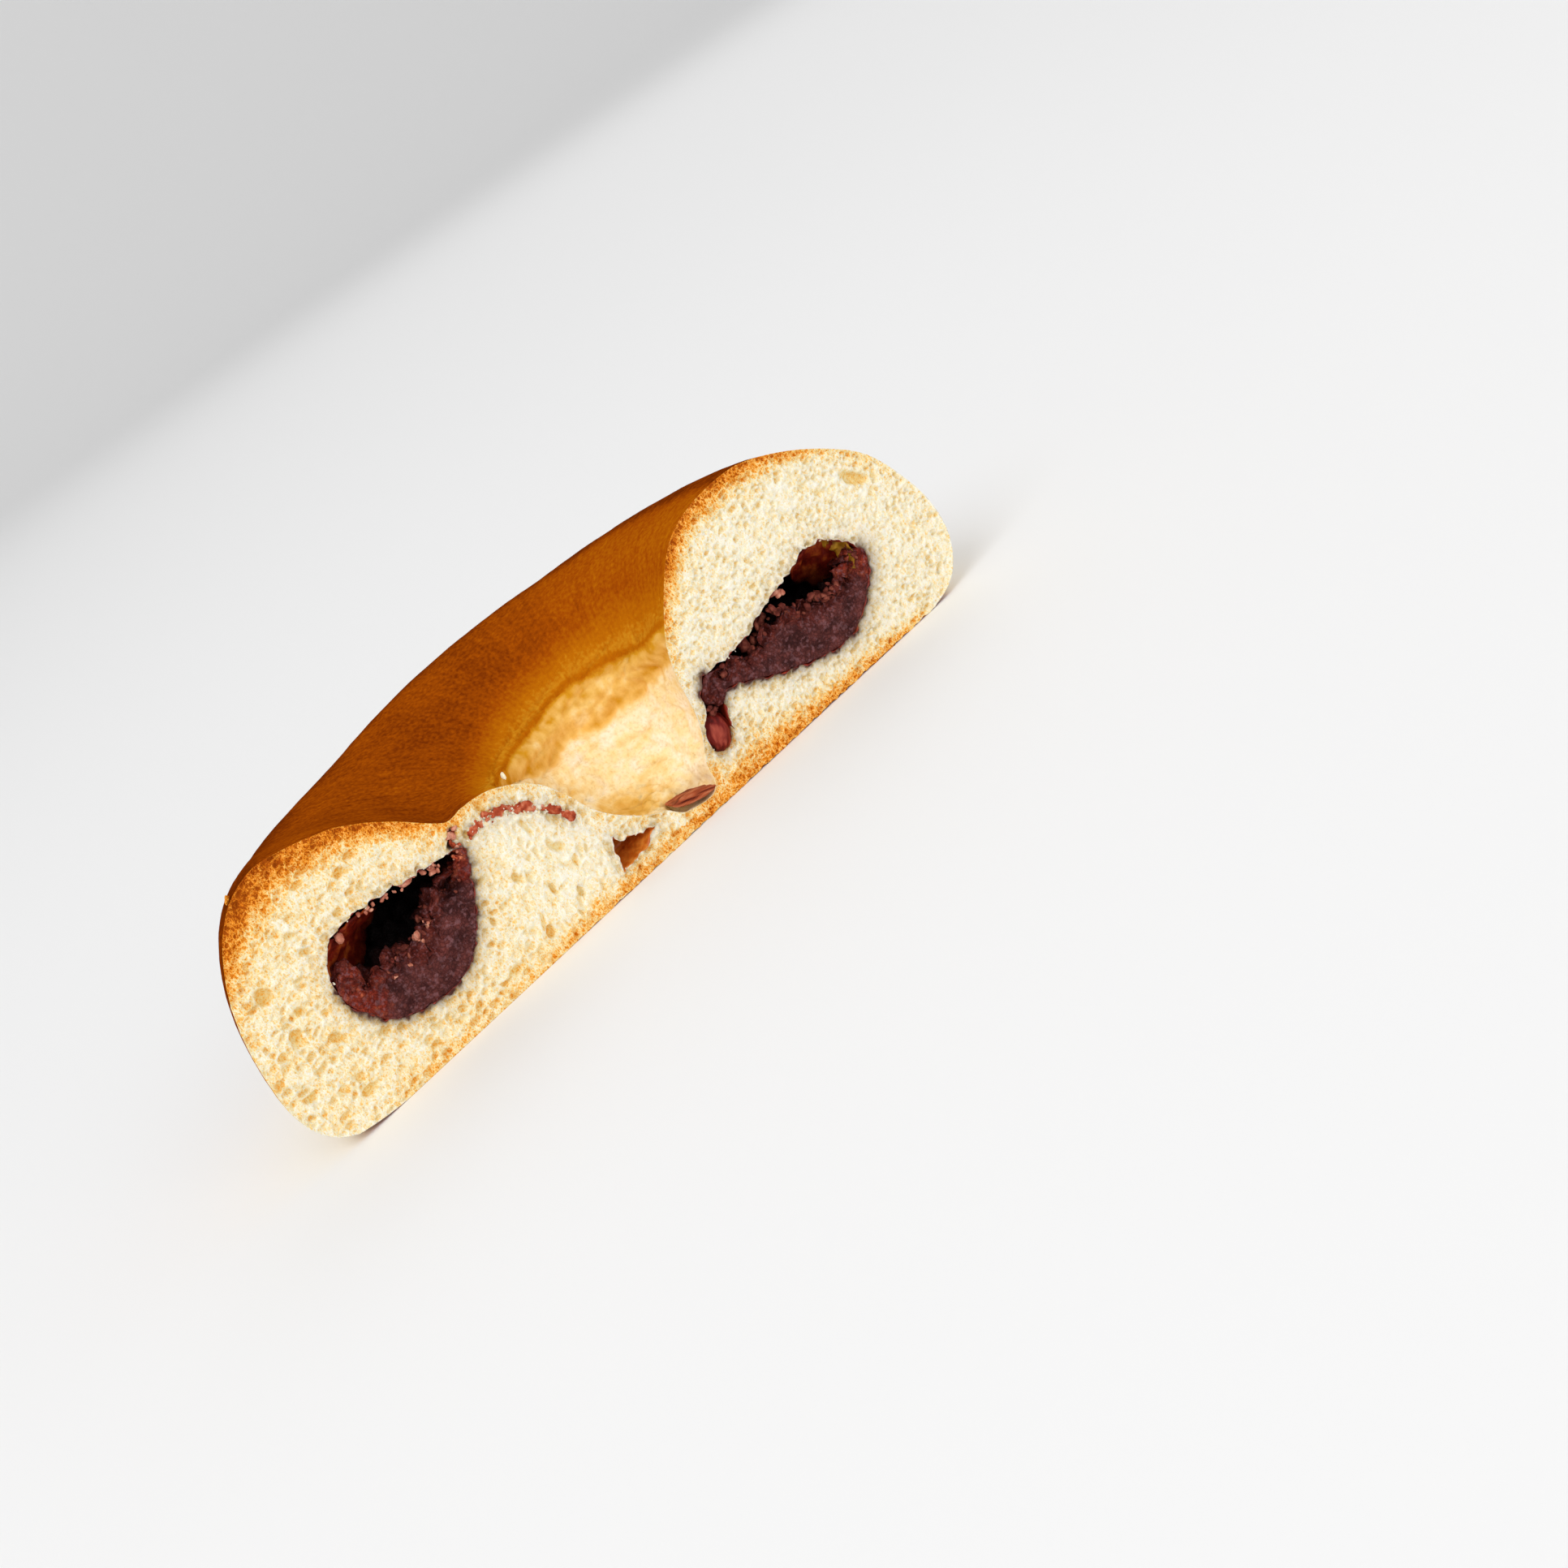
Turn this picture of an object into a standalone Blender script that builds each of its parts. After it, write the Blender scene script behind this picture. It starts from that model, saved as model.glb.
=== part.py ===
"""Half of a round bun, cut straight through its deep dimple, with bean paste in a tunnel inside.

Units are metres and +Z is up. The cut face looks along -Y and X runs along the cut. The
origin is under the middle of the half, on the surface it rests on. Every outline below is
written in millimetres from the middle of the dimple: radius first, height second."""

import math

import bmesh
import bpy
from mathutils import Matrix, Vector, noise

MM = 0.001

# Size of the half
LEFT_REACH = 58.3
RIGHT_REACH = 54.8
BUN_CENTRE_Y = -9.5
CREST_LEFT = 43.0
CREST_RIGHT = 28.4
CREST_CENTRE_Y = -5.0

# Clearance between touching pieces, and how finely the rings are divided
GAP = 0.3
PASTE_GAP = 0.4
STEP_DEGREES = 5.0
POINTS_PER_SPAN = 2
TUNNEL_POINTS = 22
MOUTH_OVERRUN_DEGREES = 22.5

# Depth behind the cut over which the air above the paste closes up
AIR_DEPTH = 24.0

# Edge of the flat spot in the bottom of the dimple
DIMPLE_FLOOR = (1.5, 4.7)
# Outline of the half at the right end of the cut: dimple, wall, crest, side, heel
RIGHT_OUTLINE = (
    DIMPLE_FLOOR, (4.5, 5.0), (6.9, 5.4), (8.0, 7.3), (9.4, 10.2),
    (10.0, 13.8), (10.4, 16.7), (11.4, 20.0), (13.5, 23.1), (15.9, 26.1),
    (18.5, 28.9), (21.2, 30.8), (24.7, 31.9), (28.4, 32.3), (33.0, 32.2),
    (37.6, 30.8), (42.5, 28.4), (47.6, 24.8), (50.9, 21.3), (53.3, 16.4),
    (54.8, 11.7), (54.8, 7.0), (53.3, 3.5), (50.7, 1.1), (46.6, 0.0),
)
# The same places half way round, behind the dimple
BACK_OUTLINE = (
    DIMPLE_FLOOR, (3.5, 5.4), (6.0, 6.7), (8.3, 8.8), (10.2, 11.6),
    (11.8, 14.4), (13.0, 17.0), (14.4, 19.8), (16.4, 22.6), (18.8, 25.2),
    (21.4, 27.4), (24.2, 29.1), (27.2, 30.1), (30.3, 30.5), (33.4, 30.1),
    (36.6, 28.8), (39.8, 26.5), (42.8, 23.2), (45.1, 19.5), (46.9, 15.0),
    (47.8, 10.5), (47.6, 6.8), (46.4, 3.6), (44.2, 1.2), (40.5, 0.0),
)
# The same places where the hump at the left end has died away
HUMP_END_OUTLINE = (
    DIMPLE_FLOOR, (3.6, 5.5), (6.0, 6.8), (8.2, 8.9), (10.0, 11.6),
    (11.4, 14.4), (12.6, 16.9), (14.4, 19.2), (17.4, 21.1), (20.6, 22.4),
    (23.6, 23.6), (27.8, 25.9), (33.2, 28.4), (40.0, 29.9), (43.0, 29.6),
    (45.6, 28.7), (48.3, 26.8), (50.4, 24.3), (52.6, 20.4), (54.2, 15.5),
    (55.1, 9.9), (54.8, 6.3), (53.7, 3.4), (50.8, 0.9), (44.6, 0.0),
)
# The same places at the left end, where the skin lifts in a hump beside a crease
LEFT_OUTLINE = (
    DIMPLE_FLOOR, (2.8, 5.6), (4.4, 6.9), (6.4, 8.7), (8.4, 11.1),
    (9.6, 13.9), (11.0, 16.6), (13.2, 19.1), (17.5, 21.6), (22.0, 22.0),
    (24.0, 21.6), (28.3, 25.8), (34.6, 30.3), (43.0, 32.6), (46.2, 32.3),
    (48.8, 31.3), (51.5, 29.1), (53.6, 26.4), (55.8, 22.3), (57.5, 16.6),
    (58.3, 9.7), (58.0, 6.2), (56.9, 3.4), (53.9, 0.9), (47.4, 0.0),
)
# The same places at the left of the back, which stands a little lower
LEFT_BACK_SINK = 0.945
LEFT_BACK_OUTLINE = (
    DIMPLE_FLOOR, *((radius, height * LEFT_BACK_SINK) for radius, height in BACK_OUTLINE[1:]),
)
# Places in an outline that are kept on the rim, crest and side circles
RIM = 7
CREST = 13
WIDEST = 20
OUTLINE_STATIONS = (
    (0.0, RIGHT_OUTLINE),
    (95.0, BACK_OUTLINE),
    (130.0, LEFT_BACK_OUTLINE),
    (157.0, HUMP_END_OUTLINE),
    (180.0, LEFT_OUTLINE),
)

# Tunnel at the right end: it drops beside the dimple in a narrow tail that holds a bean
RIGHT_ROOF = (
    (9.7, 5.4), (9.8, 8.2), (10.6, 10.2), (11.5, 12.3), (12.5, 14.1), (13.7, 14.9),
    (15.5, 14.3), (17.6, 13.8), (19.8, 14.0), (23.6, 15.0), (26.8, 16.0), (31.4, 16.9),
    (34.4, 18.2), (36.4, 18.0), (38.4, 17.2), (40.6, 15.4), (42.6, 12.8),
)
RIGHT_FLOOR = (
    (9.7, 5.4), (11.4, 4.6), (12.9, 6.0), (13.1, 7.9), (13.5, 9.6), (14.2, 10.7),
    (15.3, 11.2), (17.0, 10.5), (19.6, 9.2), (22.5, 7.8), (25.7, 6.6), (29.0, 5.5),
    (32.3, 4.9), (34.7, 5.0), (36.8, 6.0), (40.2, 8.7), (41.9, 10.7), (42.6, 12.8),
)
# How full of paste it is, inner end to outer end: share of the way, share of the height
RIGHT_FILL = (
    (0.0, 0.9), (0.12, 0.9), (0.25, 0.88), (0.3, 0.68), (0.35, 0.6), (0.48, 0.78), (0.55, 0.9),
    (0.58, 0.78), (0.63, 0.5), (0.7, 0.55), (0.83, 0.34), (0.86, 0.45), (0.91, 0.78), (1.0, 0.6),
)
# Tunnel half way round, full of paste
BACK_ROOF = (
    (18.0, 11.6), (19.0, 13.6), (22.0, 15.8), (26.0, 17.4), (30.0, 18.0), (34.0, 16.8),
    (36.6, 14.6), (37.6, 11.8),
)
BACK_FLOOR = (
    (18.0, 11.6), (18.6, 9.4), (21.0, 7.4), (24.6, 6.0), (28.6, 5.4), (32.6, 6.2),
    (35.8, 8.4), (37.6, 11.8),
)
# Tunnel at the left end: a drop shape with its point towards the crease
LEFT_ROOF = (
    (23.4, 19.0), (25.6, 18.9), (29.7, 19.5), (33.7, 20.2), (36.4, 20.7), (40.3, 20.8),
    (43.0, 20.3), (44.5, 19.4), (45.4, 17.8), (45.9, 14.9),
)
LEFT_FLOOR = (
    (23.4, 19.0), (24.7, 16.0), (25.9, 13.8), (27.1, 11.9), (28.6, 9.7), (30.5, 7.8),
    (32.3, 6.7), (34.7, 6.2), (37.3, 6.4), (39.7, 6.8), (41.9, 7.6), (43.5, 9.0),
    (44.7, 10.8), (45.6, 12.6), (45.9, 14.9),
)
LEFT_FILL = (
    (0.0, 0.5), (0.14, 0.5), (0.29, 0.63), (0.39, 0.55), (0.45, 0.38), (0.54, 0.38),
    (0.61, 0.53), (0.7, 0.42), (0.77, 0.5), (0.86, 0.78), (0.92, 0.6), (1.0, 0.5),
)
# Share of the right tunnel's length that the bean takes up, and the angle at which it ends
TAIL_SHARE = 0.185
TAIL_END_DEGREES = 60.0
TIP_SHARE = 0.03
TAIL_POINTS = 5

# Paste spread in a thin streak under the skin of the hump, from the crease to the dimple
STREAK_LINE = (
    (-22.4, 19.0), (-20.2, 19.3), (-17.8, 18.6), (-15.0, 16.9), (-12.6, 14.6), (-10.9, 12.0),
)
STREAK_THICKNESS = 0.9
STREAK_DEPTH = 7.0
STREAK_SHRINK = 0.7

# Flat piece of bean skin in the bottom of the dimple, seen from its edge
BEAN_SKIN_OUTLINE = (
    (0.0, 4.6), (2.2, 4.7), (4.2, 4.3), (6.5, 3.0), (6.6, 2.5), (4.8, 2.1), (2.6, 2.4), (0.8, 3.2),
)
BEAN_SKIN_DEPTH = 2.8
BEAN_SKIN_SHRINK = 0.9
# Notch in the dimple's floor that the bean skin lies in
NOTCH_OUTLINE = ((-0.3, 5.7), (-0.3, 2.9), (4.8, 1.8), (6.9, 2.2), (6.8, 5.7))

# Whole bean in the tail of the tunnel: centre and half lengths along X, Y and Z
BEAN_CENTRE = (11.3, 2.5, 7.1)
BEAN_HALF = (1.55, 2.4, 1.95)
BEAN_LEAN_DEGREES = 10.0
BEAN_BLUNTNESS = 0.65
BEAN_SEGMENTS = 16
BEAN_RINGS = 10

# Small open gap between the skin of the dimple and the bottom crust
FLOOR_GAP_OUTLINE = (
    (-8.7, 6.2), (-9.2, 4.6), (-9.8, 3.1), (-7.6, 2.5), (-5.4, 2.7), (-3.2, 3.9), (-5.2, 4.5), (-7.2, 5.6),
)
FLOOR_GAP_DEPTH = 5.0
FLOOR_GAP_SHRINK = 0.4

# Biggest pores in the crumb: place along X, height, half length, half thickness, lean in degrees
BIG_PORES = (
    (46.9, 20.7, 2.4, 1.0, 46.0),
    (-52.3, 14.5, 1.0, 0.9, 0.0),
    (-49.0, 11.4, 1.2, 0.8, 30.0),
    (-49.7, 4.0, 1.6, 0.7, 0.0),
    (-52.2, 20.4, 1.3, 1.1, 60.0),
    (-37.1, 25.6, 0.9, 0.7, 0.0),
    (-21.1, 11.1, 0.6, 0.8, 0.0),
    (-14.6, 10.4, 1.1, 0.7, 40.0),
    (-21.7, 3.2, 0.6, 1.0, 20.0),
)
PORE_DEPTH = 0.9
PORE_SEGMENTS = 10

# Soft waves of the baked surface, which start above the dimple's floor
WAVE_HEIGHT = 0.35
WAVE_LENGTH = 17.0
WAVE_START = 6.0
WAVE_RISE = 10.0

# How far the cutters reach past what they cut
CUT_MARGIN = 10.0
SLOT_OVERRUN = 2.0
# Where a slot behind the cut is half way to its narrow back end, as a share of its depth
TAPER_MIDDLE = 0.6


def clear_scene():
    for scene_object in list(bpy.data.objects):
        bpy.data.objects.remove(scene_object, do_unlink=True)


def new_collection(name):
    collection = bpy.data.collections.new(name)
    bpy.context.scene.collection.children.link(collection)
    return collection


def new_material(name, colour, roughness):
    material = bpy.data.materials.new(name)
    material.use_nodes = True
    shader = material.node_tree.nodes["Principled BSDF"]
    shader.inputs["Base Color"].default_value = (*colour, 1.0)
    shader.inputs["Roughness"].default_value = roughness
    shader.inputs["Metallic"].default_value = 0.0
    material.diffuse_color = (*colour, 1.0)
    return material


def ease(value):
    """Rises smoothly from 0 to 1 as value goes from 0 to 1."""
    value = min(max(value, 0.0), 1.0)
    return value * value * (3.0 - 2.0 * value)


def mix(first, second, share):
    return tuple(a + (b - a) * share for a, b in zip(first, second))


def mix_lines(first, second, share):
    return [mix(a, b, share) for a, b in zip(first, second)]


def smooth_line(points, per_span):
    """Catmull-Rom curve through the points, with per_span pieces between neighbours."""
    ends = [points[0], *points, points[-1]]
    line = []
    for before, start, stop, after in zip(ends, ends[1:], ends[2:], ends[3:]):
        for piece in range(per_span):
            t = piece / per_span
            line.append(tuple(
                0.5 * (2 * b + (c - a) * t + (2 * a - 5 * b + 4 * c - d) * t ** 2
                       + (3 * b - a - 3 * c + d) * t ** 3)
                for a, b, c, d in zip(before, start, stop, after)
            ))
    line.append(tuple(points[-1]))
    return line


def even_line(points, count):
    """The same line with count points at equal distances along it."""
    lengths = [0.0]
    for start, stop in zip(points, points[1:]):
        lengths.append(lengths[-1] + math.dist(start, stop))
    line = []
    span = 0
    for index in range(count):
        wanted = lengths[-1] * index / (count - 1)
        while span < len(points) - 2 and lengths[span + 1] < wanted:
            span += 1
        share = (wanted - lengths[span]) / (lengths[span + 1] - lengths[span])
        line.append(mix(points[span], points[span + 1], share))
    return line


def inset(outline, distance):
    """Moves a closed counter-clockwise outline inwards by the distance."""
    moved = []
    for index, point in enumerate(outline):
        before = Vector(outline[index - 1])
        after = Vector(outline[(index + 1) % len(outline)])
        along = (after - before).normalized()
        moved.append((point[0] - along.y * distance, point[1] + along.x * distance))
    return moved


def circle_reach(angle, centre, radius):
    """Distance from the dimple's middle to an off-centre circle, along an angle."""
    towards = centre[0] * math.cos(angle) + centre[1] * math.sin(angle)
    return towards + math.sqrt(towards ** 2 + radius ** 2 - centre[0] ** 2 - centre[1] ** 2)


def chord_circle(left, right, centre_y):
    """Centre and radius of the circle that crosses the cut at -left and +right."""
    half = (left + right) / 2
    return ((right - left) / 2, centre_y), math.hypot(half, centre_y)


OUTER_CIRCLE = chord_circle(LEFT_REACH, RIGHT_REACH, BUN_CENTRE_Y)
CREST_CIRCLE = chord_circle(CREST_LEFT, CREST_RIGHT, CREST_CENTRE_Y)


def at_station(stations, degrees):
    """Outline at an angle, mixed from the two stations beside it."""
    for (start, first), (stop, second) in zip(stations, stations[1:]):
        if degrees <= stop:
            way = (degrees - start) / (stop - start)
            return mix_lines(first, second, (way + ease(way)) / 2)
    return list(stations[-1][1])


def folded(degrees):
    """Angle from the right end, 0 to 180, for any angle round the bun."""
    degrees = degrees % 360.0
    return degrees if degrees <= 180.0 else 360.0 - degrees


def stretch(radius, old, new):
    """Moves a radius so that rim, crest and side land on their circles."""
    for (old_start, old_stop), (new_start, new_stop) in zip(zip(old, old[1:]), zip(new, new[1:])):
        if radius <= old_stop or old_stop == old[-1]:
            return new_start + (radius - old_start) * (new_stop - new_start) / (old_stop - old_start)
    return radius


def bun_profile(degrees):
    """Outline of the bun's outer surface at an angle, from the dimple to the heel."""
    line = at_station(OUTLINE_STATIONS, folded(degrees))
    angle = math.radians(degrees)
    rim = line[RIM][0]
    old = (0.0, rim, line[CREST][0], line[WIDEST][0])
    new = (0.0, rim, circle_reach(angle, *CREST_CIRCLE), circle_reach(angle, *OUTER_CIRCLE))
    line = [(stretch(radius, old, new), height) for radius, height in line]
    return smooth_line(line, POINTS_PER_SPAN)


def turned(radius, height, degrees):
    angle = math.radians(degrees)
    return Vector((radius * math.cos(angle), radius * math.sin(angle), height))


def waved(place):
    """Lifts or sinks a point of the outer surface by the bun's soft waves."""
    share = ease((place.z - WAVE_START) / WAVE_RISE)
    return place + Vector((0.0, 0.0, share * WAVE_HEIGHT * noise.noise(place / WAVE_LENGTH)))


def object_from_bmesh(name, mesh_data, collection, material=None):
    bmesh.ops.recalc_face_normals(mesh_data, faces=mesh_data.faces)
    bmesh.ops.scale(mesh_data, vec=(MM, MM, MM), verts=mesh_data.verts)
    mesh = bpy.data.meshes.new(name)
    mesh_data.to_mesh(mesh)
    mesh_data.free()
    made = bpy.data.objects.new(name, mesh)
    collection.objects.link(made)
    if material:
        mesh.materials.append(material)
    return made


def loft(name, rings, collection, material=None):
    """Joins rings of points in order, with a face on each end."""
    mesh_data = bmesh.new()
    rows = [[mesh_data.verts.new(place) for place in ring] for ring in rings]
    for row, following in zip(rows, rows[1:]):
        for index in range(len(row)):
            beside = (index + 1) % len(row)
            mesh_data.faces.new((row[index], row[beside], following[beside], following[index]))
    mesh_data.faces.new(rows[0])
    mesh_data.faces.new(rows[-1])
    return object_from_bmesh(name, mesh_data, collection, material)


def whole_bun(collection, material):
    """The bun before it is cut: profiles joined round the dimple, with flat floor and base."""
    steps = round(360.0 / STEP_DEGREES)
    mesh_data = bmesh.new()
    rows = []
    for step in range(steps):
        degrees = (step + 0.5) * STEP_DEGREES
        profile = bun_profile(degrees)
        places = [waved(turned(radius, height, degrees)) for radius, height in profile]
        rows.append([mesh_data.verts.new(place) for place in places])
    for row, following in zip(rows, rows[1:] + rows[:1]):
        for index in range(len(row) - 1):
            mesh_data.faces.new((row[index], row[index + 1], following[index + 1], following[index]))
    mesh_data.faces.new([row[0] for row in rows])
    mesh_data.faces.new([row[-1] for row in rows])
    return object_from_bmesh("bread", mesh_data, collection, material)


def tunnel_line(station_lines, degrees):
    """Roof or floor of the tunnel at an angle, mixed from its right, back and left lines."""
    right, back, left = (even_line(line, TUNNEL_POINTS) for line in station_lines)
    return at_station(((0.0, right), (90.0, back), (180.0, left)), folded(degrees))


def tunnel_outline(degrees):
    """Closed outline of the tunnel: along its floor and back along its roof."""
    floor = tunnel_line((RIGHT_FLOOR, BACK_FLOOR, LEFT_FLOOR), degrees)
    roof = tunnel_line((RIGHT_ROOF, BACK_ROOF, LEFT_ROOF), degrees)
    return floor + roof[-2:0:-1]


def tunnel_cutter(collection):
    start = -MOUTH_OVERRUN_DEGREES
    steps = round((180.0 + 2 * MOUTH_OVERRUN_DEGREES) / STEP_DEGREES)
    rings = []
    for step in range(steps + 1):
        degrees = start + step * STEP_DEGREES
        side = min(max(degrees, 0.0), 180.0)
        rings.append([turned(radius, height, degrees) for radius, height in tunnel_outline(side)])
    return loft("tunnel_cutter", rings, collection)


def line_at(line, share):
    """Point at a share of the way along a line of evenly spaced points."""
    place = min(max(share, 0.0), 1.0) * (len(line) - 1)
    index = min(int(place), len(line) - 2)
    return mix(line[index], line[index + 1], place - index)


def fill_at(fill, share):
    """How full the tunnel is at a share of the way along it."""
    for (start, low), (stop, high) in zip(fill, fill[1:]):
        if share <= stop:
            return low + (high - low) * (share - start) / (stop - start)
    return fill[-1][1]


def paste_outline(degrees):
    """Outline of the paste: the tunnel less the gap, with its top sunk near the cut."""
    walls = inset(tunnel_outline(degrees), PASTE_GAP)
    floor = walls[:TUNNEL_POINTS]
    roof = [floor[0], *walls[:TUNNEL_POINTS - 1:-1], floor[-1]]
    fill = RIGHT_FILL if degrees < 90.0 else LEFT_FILL
    closing = ease(floor[TUNNEL_POINTS // 2][0] * math.sin(math.radians(degrees)) / AIR_DEPTH)
    start = TIP_SHARE + (TAIL_SHARE - TIP_SHARE) * (1.0 - ease(degrees / TAIL_END_DEGREES))
    low_side = []
    high_side = []
    for index in range(TUNNEL_POINTS):
        share = index / (TUNNEL_POINTS - 1)
        if index < TAIL_POINTS:
            share = start + (TAIL_POINTS / (TUNNEL_POINTS - 1) - start) * index / TAIL_POINTS
        low = line_at(floor, share)
        level = fill_at(fill, share)
        low_side.append(low)
        high_side.append(mix(low, line_at(roof, share), level + (1.0 - level) * closing))
    return low_side + high_side[-2::-1]


def paste(collection, material):
    steps = round(180.0 / STEP_DEGREES)
    rings = []
    for step in range(steps + 1):
        degrees = step * STEP_DEGREES
        rings.append([turned(radius, height, degrees) for radius, height in paste_outline(degrees)])
    return loft("paste", rings, collection, material)


def tapered(name, outline, front, back, shrink, collection, material=None):
    """An outline in the cut plane drawn back to a depth, getting smaller behind the cut."""
    centre = [sum(values) / len(outline) for values in zip(*outline)]
    stages = [(0.0, 1.0), (TAPER_MIDDLE * back, (1.0 + shrink) / 2), (back, shrink)]
    if front < 0.0:
        stages.insert(0, (front, 1.0))
    rings = []
    for depth, scale in stages:
        ring = [mix(centre, point, scale) for point in outline]
        rings.append([Vector((x, depth, z)) for x, z in ring])
    return loft(name, rings, collection, material)


def band(line, thickness):
    """Closed outline of even thickness along an open line."""
    above = []
    below = []
    for index, point in enumerate(line):
        before = Vector(line[max(index - 1, 0)])
        after = Vector(line[min(index + 1, len(line) - 1)])
        along = (after - before).normalized() * thickness / 2
        above.append((point[0] - along.y, point[1] + along.x))
        below.append((point[0] + along.y, point[1] - along.x))
    return above + below[::-1]


def longer(line, distance):
    """The same line drawn out by a distance at both ends."""
    start = Vector(line[0]) + (Vector(line[0]) - Vector(line[1])).normalized() * distance
    stop = Vector(line[-1]) + (Vector(line[-1]) - Vector(line[-2])).normalized() * distance
    return [tuple(start), *line[1:-1], tuple(stop)]


def cut(target, cutter):
    modifier = target.modifiers.new(cutter.name, "BOOLEAN")
    modifier.operation = "DIFFERENCE"
    modifier.solver = "EXACT"
    modifier.object = cutter
    cutter.hide_render = True
    cutter.display_type = "WIRE"


def front_cutter(collection):
    """Block that takes away the front half of the bun."""
    width = LEFT_REACH + RIGHT_REACH + 2 * CUT_MARGIN
    mesh_data = bmesh.new()
    bmesh.ops.create_cube(mesh_data, size=width)
    bmesh.ops.translate(mesh_data, vec=(0.0, -width / 2, 0.0), verts=mesh_data.verts)
    return object_from_bmesh("front_cutter", mesh_data, collection)


def bean_ball(name, grow, collection, material=None):
    mesh_data = bmesh.new()
    bmesh.ops.create_uvsphere(mesh_data, u_segments=BEAN_SEGMENTS, v_segments=BEAN_RINGS, radius=1.0)
    for vert in mesh_data.verts:
        vert.co.y = math.copysign(abs(vert.co.y) ** BEAN_BLUNTNESS, vert.co.y)
    size = Matrix.Diagonal([half + grow for half in BEAN_HALF]).to_4x4()
    lean = Matrix.Rotation(math.radians(BEAN_LEAN_DEGREES), 4, "Y")
    placed = Matrix.Translation(BEAN_CENTRE) @ lean @ size
    bmesh.ops.transform(mesh_data, matrix=placed, verts=mesh_data.verts)
    return object_from_bmesh(name, mesh_data, collection, material)


def pore_cutters(collection):
    cutters = []
    for number, (x, z, half_width, half_height, lean) in enumerate(BIG_PORES, start=1):
        mesh_data = bmesh.new()
        bmesh.ops.create_uvsphere(
            mesh_data, u_segments=PORE_SEGMENTS, v_segments=PORE_SEGMENTS // 2, radius=1.0)
        size = Matrix.Diagonal((half_width, PORE_DEPTH, half_height)).to_4x4()
        turn = Matrix.Rotation(math.radians(lean), 4, "Y")
        placed = Matrix.Translation((x, 0.0, z)) @ turn @ size
        bmesh.ops.transform(mesh_data, matrix=placed, verts=mesh_data.verts)
        cutters.append(object_from_bmesh(f"pore_cutter_{number}", mesh_data, collection))
    return cutters


def bread(collection, cutters, material):
    """Crust and crumb: the whole bun less its front half, the tunnel and the small hollows."""
    made = whole_bun(collection, material)
    streak_slot = band(longer(STREAK_LINE, GAP), STREAK_THICKNESS + 2 * GAP)
    slots = (
        ("streak_cutter", streak_slot, STREAK_DEPTH + GAP, STREAK_SHRINK),
        ("notch_cutter", NOTCH_OUTLINE, BEAN_SKIN_DEPTH + GAP, 1.0),
        ("floor_gap_cutter", FLOOR_GAP_OUTLINE, FLOOR_GAP_DEPTH, FLOOR_GAP_SHRINK),
    )
    cut(made, front_cutter(cutters))
    cut(made, tunnel_cutter(cutters))
    for name, outline, depth, shrink in slots:
        cut(made, tapered(name, outline, -SLOT_OVERRUN, depth, shrink, cutters))
    cut(made, bean_ball("bean_cutter", GAP, cutters))
    for cutter in pore_cutters(cutters):
        cut(made, cutter)


def centre_on_origin(parts):
    """Moves every piece with one empty, so that the half is centred over the origin."""
    depth = circle_reach(math.pi / 2, *OUTER_CIRCLE)
    middle = Vector(((RIGHT_REACH - LEFT_REACH) / 2, depth / 2, 0.0)) * MM
    frame = bpy.data.objects.new("half_bun_frame", None)
    bpy.context.scene.collection.objects.link(frame)
    frame.location = -middle
    for part in parts:
        part.parent = frame


def build():
    clear_scene()
    parts = new_collection("red_bean_bun_half")
    cutters = new_collection("cutters")
    streak = band(STREAK_LINE, STREAK_THICKNESS)
    crust = new_material("bread_crust", (0.80, 0.46, 0.14), 0.45)
    dark_paste = new_material("bean_paste", (0.13, 0.05, 0.06), 0.65)
    red_paste = new_material("red_paste", (0.25, 0.05, 0.05), 0.6)
    pale_skin = new_material("loose_bean_skin", (0.38, 0.12, 0.09), 0.5)
    bean_coat = new_material("bean_coat", (0.12, 0.02, 0.03), 0.3)
    bread(parts, cutters, crust)
    paste(parts, dark_paste)
    tapered("paste_streak", streak, 0.0, STREAK_DEPTH, STREAK_SHRINK, parts, red_paste)
    tapered("bean_skin", BEAN_SKIN_OUTLINE, 0.0, BEAN_SKIN_DEPTH, BEAN_SKIN_SHRINK, parts, pale_skin)
    bean_ball("bean", 0.0, parts, bean_coat)
    centre_on_origin(list(parts.objects) + list(cutters.objects))


build()
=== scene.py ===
import math

import bpy
import numpy as np
from mathutils import Euler, Matrix, Vector, noise
from mathutils.bvhtree import BVHTree
from mathutils.kdtree import KDTree


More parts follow.
